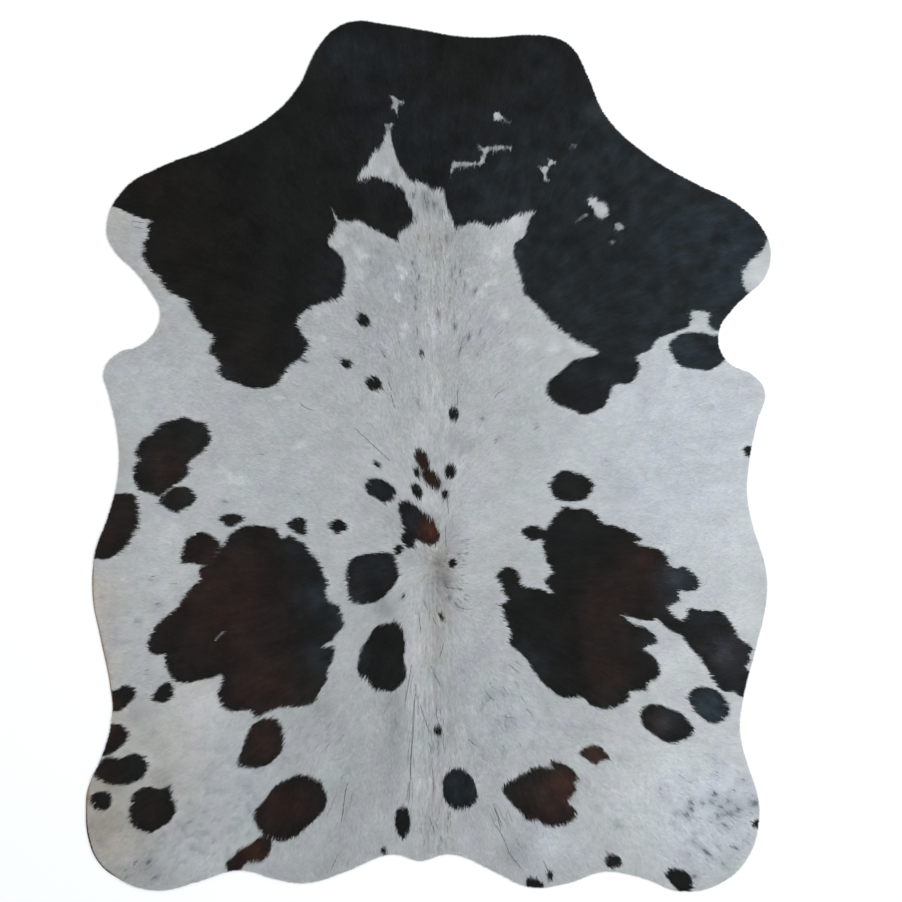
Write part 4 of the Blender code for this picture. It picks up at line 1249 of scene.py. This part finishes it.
def growLocks():
    # every lock's root, tip, width and colour, tuft by tuft from the tail to the neck
    tufts = layTufts()
    rng = np.random.default_rng(11)
    ways = combing(tufts)
    back = alongBack(tufts)
    count, each = len(tufts), len(locks["width"])
    # where pale tips lie over dark hair the border is the more ragged
    far, near = locks["lookAhead"]
    over = insideDark(tufts + ways * far) - insideDark(tufts + ways * near)
    over = np.clip(over / (far - near), 0, 1)
    plain, more = locks["raggedBy"]
    ragged = combedGrain(tufts + ways * locks["raggedAt"], ways, *locks["ragged"]) * (plain + more * over)
    angle = np.arctan2(ways[:, 1], ways[:, 0]) + rng.normal(0, lockSpread["turn"], count)
    reach = rng.lognormal(0, lockSpread["reach"], count) * tuftReach(tufts, back)
    light = rng.normal(0, lockSpread["light"], count)
    rows = {key: [] for key in ("root", "tip", "wide", "tone")}
    for turn in range(each):
        first, further = lockSpread["lean"]
        lean = angle + rng.normal(0, first + further * turn, count)
        way = np.stack([np.cos(lean), np.sin(lean)], 1)
        off = rng.normal(0, lockSpread["root"], (count, 2))
        long = locks["length"][turn] * reach * rng.lognormal(0, lockSpread["length"], count)
        root = tufts + off
        root = np.where(insideEdge(root)[:, None] > locks["rootsFromEdge"], root, tufts)
        tip = tufts + way * long[:, None] + off * locks["gather"]
        tip = heldBack(root, tip + rng.normal(0, lockSpread["tip"], (count, 2)))
        shown = root + (tip - root) * locks["shown"]
        depth = insideDark(shown) + ragged + rng.normal(0, lockSpread["border"], count)
        dark = (depth / locks["border"] + 0.5).clip(0, 1)[:, None]
        tips = locks["brightTips"] * over * np.exp(-np.minimum(depth, 0) ** 2 / locks["brightReach"] ** 2)
        stray = rng.random(count) < fleckShare(shown, way) * locks["strays"]
        plain, more = lockSpread["paleLight"]
        lighter = 1 + tips + light + (plain + more * back) * rng.normal(0, 1, count)
        pale = paleTone(shown, way) * lighter[:, None]
        pale = np.where(stray[:, None], hairTones["fleck"], pale)
        lighter = 1 + lockSpread["darkLight"] * rng.normal(0, 1, count)
        deep = darkTone(shown, way) * lighter[:, None].clip(0.6, 1.5)
        tone = (np.sqrt(pale) * (1 - dark) + np.sqrt(deep) * dark) ** 2
        wide = locks["width"][turn] * rng.lognormal(0, lockSpread["width"], count)
        wide *= 1 - locks["slimmerBack"] * back
        for key, value in (("root", root), ("tip", tip), ("wide", wide), ("tone", tone)):
            rows[key].append(value)
    return {key: np.stack(value, 1).reshape((count * each,) + value[0].shape[1:])
            for key, value in rows.items()}


def tipHeight(tips):
    # the coat's own depth, falling away over the cut edge
    drop, reach = locks["edgeDrop"]
    past = np.maximum(insideEdge(tips) + locks["overhang"], 0)
    return leatherCut["thickness"] + lyingDepth(tips) * (1 - drop * np.exp(-past / reach))


def makeLockMesh(name, lock, material, seed, lift=0.0):
    # each lock is a blade folded along its middle: left and right root, ridge root and tip
    rng = np.random.default_rng(seed)
    root, tip, wide = lock["root"], lock["tip"], lock["wide"]
    count = len(root)
    way = (tip - root) / np.maximum(np.hypot(*(tip - root).T), 1e-6)[:, None]
    aside = np.stack([-way[:, 1], way[:, 0]], 1)
    side = aside * wide[:, None] / 2
    ridge = root + way * wide[:, None] * locks["ridgeStart"]
    low = underHeight(root) - locks["sunk"] + lift
    high = tipHeight(tip) + rng.normal(0, lockSpread["height"], count) + lift
    places = np.stack([
        np.column_stack([root + side, low]),
        np.column_stack([root - side, low]),
        np.column_stack([ridge, low + wide * locks["ridge"] + locks["ridgeLift"]]),
        np.column_stack([tip, high]),
    ], 1)
    faces = (np.arange(count)[:, None, None] * 4 + np.array([[0, 2, 3], [2, 1, 3]])).ravel()
    mesh = bpy.data.meshes.new(name)
    mesh.vertices.add(count * 4)
    mesh.vertices.foreach_set("co", places.astype(np.float32).ravel())
    mesh.loops.add(count * 6)
    mesh.loops.foreach_set("vertex_index", faces.astype(np.int32))
    mesh.polygons.add(count * 2)
    mesh.polygons.foreach_set("loop_start", np.arange(count * 2, dtype=np.int32) * 3)
    mesh.update(calc_edges=True)
    normals = np.zeros((count, 4, 3))
    normals[:, 0, :2] = aside * locks["rounding"]
    normals[:, 1, :2] = -aside * locks["rounding"]
    normals[:, :, :2] += way[:, None] * np.array(locks["lean"])[:, None]
    normals[:, :, 2] = 1
    normals /= np.linalg.norm(normals, axis=2)[:, :, None]
    storeVectors(mesh, "custom_normal", normals)
    # painted shade at the roots of the locks
    tones = lock["tone"][:, None] * np.array(locks["fade"])[:, None]
    storeTone(mesh, "hairTone", tones.reshape(-1, 3))
    strand = np.zeros((count, 4, 3), np.float32)
    strand[:, :, 0] = (0, 4, 2, 2)
    strand[:, :, 1] = (0, 0, 0.2, 1.2)
    strand += rng.uniform(0, 900, (count, 1, 3))
    storeVectors(mesh, "strand", strand)
    storeFlatMap(mesh, flatPlaces(places[:, :, :2].reshape(-1, 2))[faces])
    return newPiece(name, mesh, material)


def makeLocks():
    lock = growLocks()
    material = makeHairFinish()
    pieces = []
    splits = np.array_split(np.arange(len(lock["wide"])), len(locks["bands"]))
    for seed, (name, part) in enumerate(zip(reversed(locks["bands"]), splits)):
        piece = makeLockMesh(name, {key: value[part] for key, value in lock.items()}, material, 100 + seed)
        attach(piece, "root")
        pieces.append(piece)
        print(name, len(piece.data.polygons), "faces")
    return pieces


longHair = {
    "piece": 12 * mm,        # a hair is a chain of pieces, each half as long again to overlap
    "overlap": 0.5,
    "width": 1.2 * mm,
    "bow": 1.2 * mm,
    "turn": 0.06,            # of the scattered ones, for their length
    "fromDark": 2 * mm,      # none lies in a dark patch or by the cut edge
    "fromEdge": 8 * mm,
    "lift": 1.2 * mm,        # over the coat
}


def layLongHairs():
    # chains of thin dark hairs laid over the pale coat
    rng = np.random.default_rng(17)
    hairs = [(np.array(row[:2]) * cm, np.array(row[2:]) * cm, 1.0) for row in longHairs]
    for across, up, count, shortest, longest, dark in hairDrifts:
        start = np.column_stack([rng.uniform(*across, count), rng.uniform(*up, count)]) * cm
        long = (rng.uniform(shortest, longest, count) * cm)[:, None]
        end = start + combing(start) * long + rng.normal(0, 1, (count, 2)) * longHair["turn"] * long
        hairs += zip(start, end, rng.uniform(0.5 * dark, dark, count))
    rows = {key: [] for key in ("root", "tip", "wide", "tone")}
    for start, end, strength in hairs:
        pieces = max(1, round(np.hypot(*(end - start)) / longHair["piece"]))
        bow = rng.normal(0, longHair["bow"], 2)
        marks = np.linspace(0, 1, pieces + 1)[:, None]
        chain = start + (end - start) * marks + bow * np.sin(marks * math.pi)
        inside = (insideDark(chain) < -longHair["fromDark"]) & (insideEdge(chain) > longHair["fromEdge"])
        tone = hairTones["pale"] + (hairTones["longHair"] - hairTones["pale"]) * strength
        for here, there, kept in zip(chain, chain[1:], inside):
            if kept:
                rows["root"].append(here)
                rows["tip"].append(there + (there - here) * longHair["overlap"])
                rows["wide"].append(longHair["width"])
                rows["tone"].append(tone)
    return {key: np.array(value) for key, value in rows.items()}


lockPieces = makeLocks()
longLocks = makeLockMesh("longDarkHairs", layLongHairs(), makeHairFinish(), 200, longHair["lift"])
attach(longLocks, "root")
hideArea = abs(sum(a[0] * b[1] - a[1] * b[0] for a, b in zip(cutEdge, np.roll(cutEdge, -1, 0)))) / 2
print("locks made, hide area", round(hideArea, 3), "square metres")


studio = {
    "photoWidth": 902,             # pixels
    "pixel": 2.4 * mm,             # of the hide in one pixel of the photograph
    "middle": (5.52 * cm, 1.2 * cm),
    "hideTop": 5 * mm,
    "fieldOfView": 40,
    "floorFinish": {"Base Color": (0.98, 0.98, 0.98, 1), "Roughness": 0.9, "Specular IOR Level": 0.1},
    "floorHalf": 40,
    "floorDrop": 0.3 * mm,         # below the hide
    "roomTone": (0.93, 0.97, 1.0, 1.0),
    "roomStrength": 0.72,
    "lamps": {
        # place, size in metres, watts
        "windowLight": ((2.6, 0.9, 3.2), 2.4, 95),
        "fillLight": ((-2.4, 0.3, 3.4), 2.6, 22),
    },
}


def makeFloor():
    half, drop = studio["floorHalf"], studio["floorDrop"]
    corners = [(x * half, y * half, -drop) for x, y in ((-1, -1), (1, -1), (1, 1), (-1, 1))]
    mesh = bpy.data.meshes.new("floor")
    mesh.from_pydata(corners, [], [(0, 1, 2, 3)])
    finish = Finish("paleFloor", studio["floorFinish"])
    newPiece("floor", mesh, finish.material)


def makeLights():
    world = bpy.data.worlds.new("softRoom")
    world.use_nodes = True
    room = world.node_tree.nodes["Background"]
    room.inputs["Color"].default_value = studio["roomTone"]
    room.inputs["Strength"].default_value = studio["roomStrength"]
    bpy.context.scene.world = world
    for name, (place, size, power) in studio["lamps"].items():
        lamp = bpy.data.lights.new(name, "AREA")
        lamp.size = size
        lamp.energy = power
        holder = bpy.data.objects.new(name, lamp)
        holder.location = place
        holder.rotation_euler = (-Vector(place)).to_track_quat("-Z", "Y").to_euler()
        bpy.context.scene.collection.objects.link(holder)


def makeCamera():
    # straight above, as far up as makes the hide as large as in the photograph
    lens = bpy.data.cameras.new("camera")
    lens.angle = math.radians(studio["fieldOfView"])
    camera = bpy.data.objects.new("camera", lens)
    across = studio["photoWidth"] * studio["pixel"]
    camera.location = (*studio["middle"], across / 2 / math.tan(lens.angle / 2) + studio["hideTop"])
    bpy.context.scene.collection.objects.link(camera)
    bpy.context.scene.camera = camera
    bpy.context.scene.view_settings.view_transform = "Standard"


makeFloor()
makeLights()
makeCamera()
print("studio made")
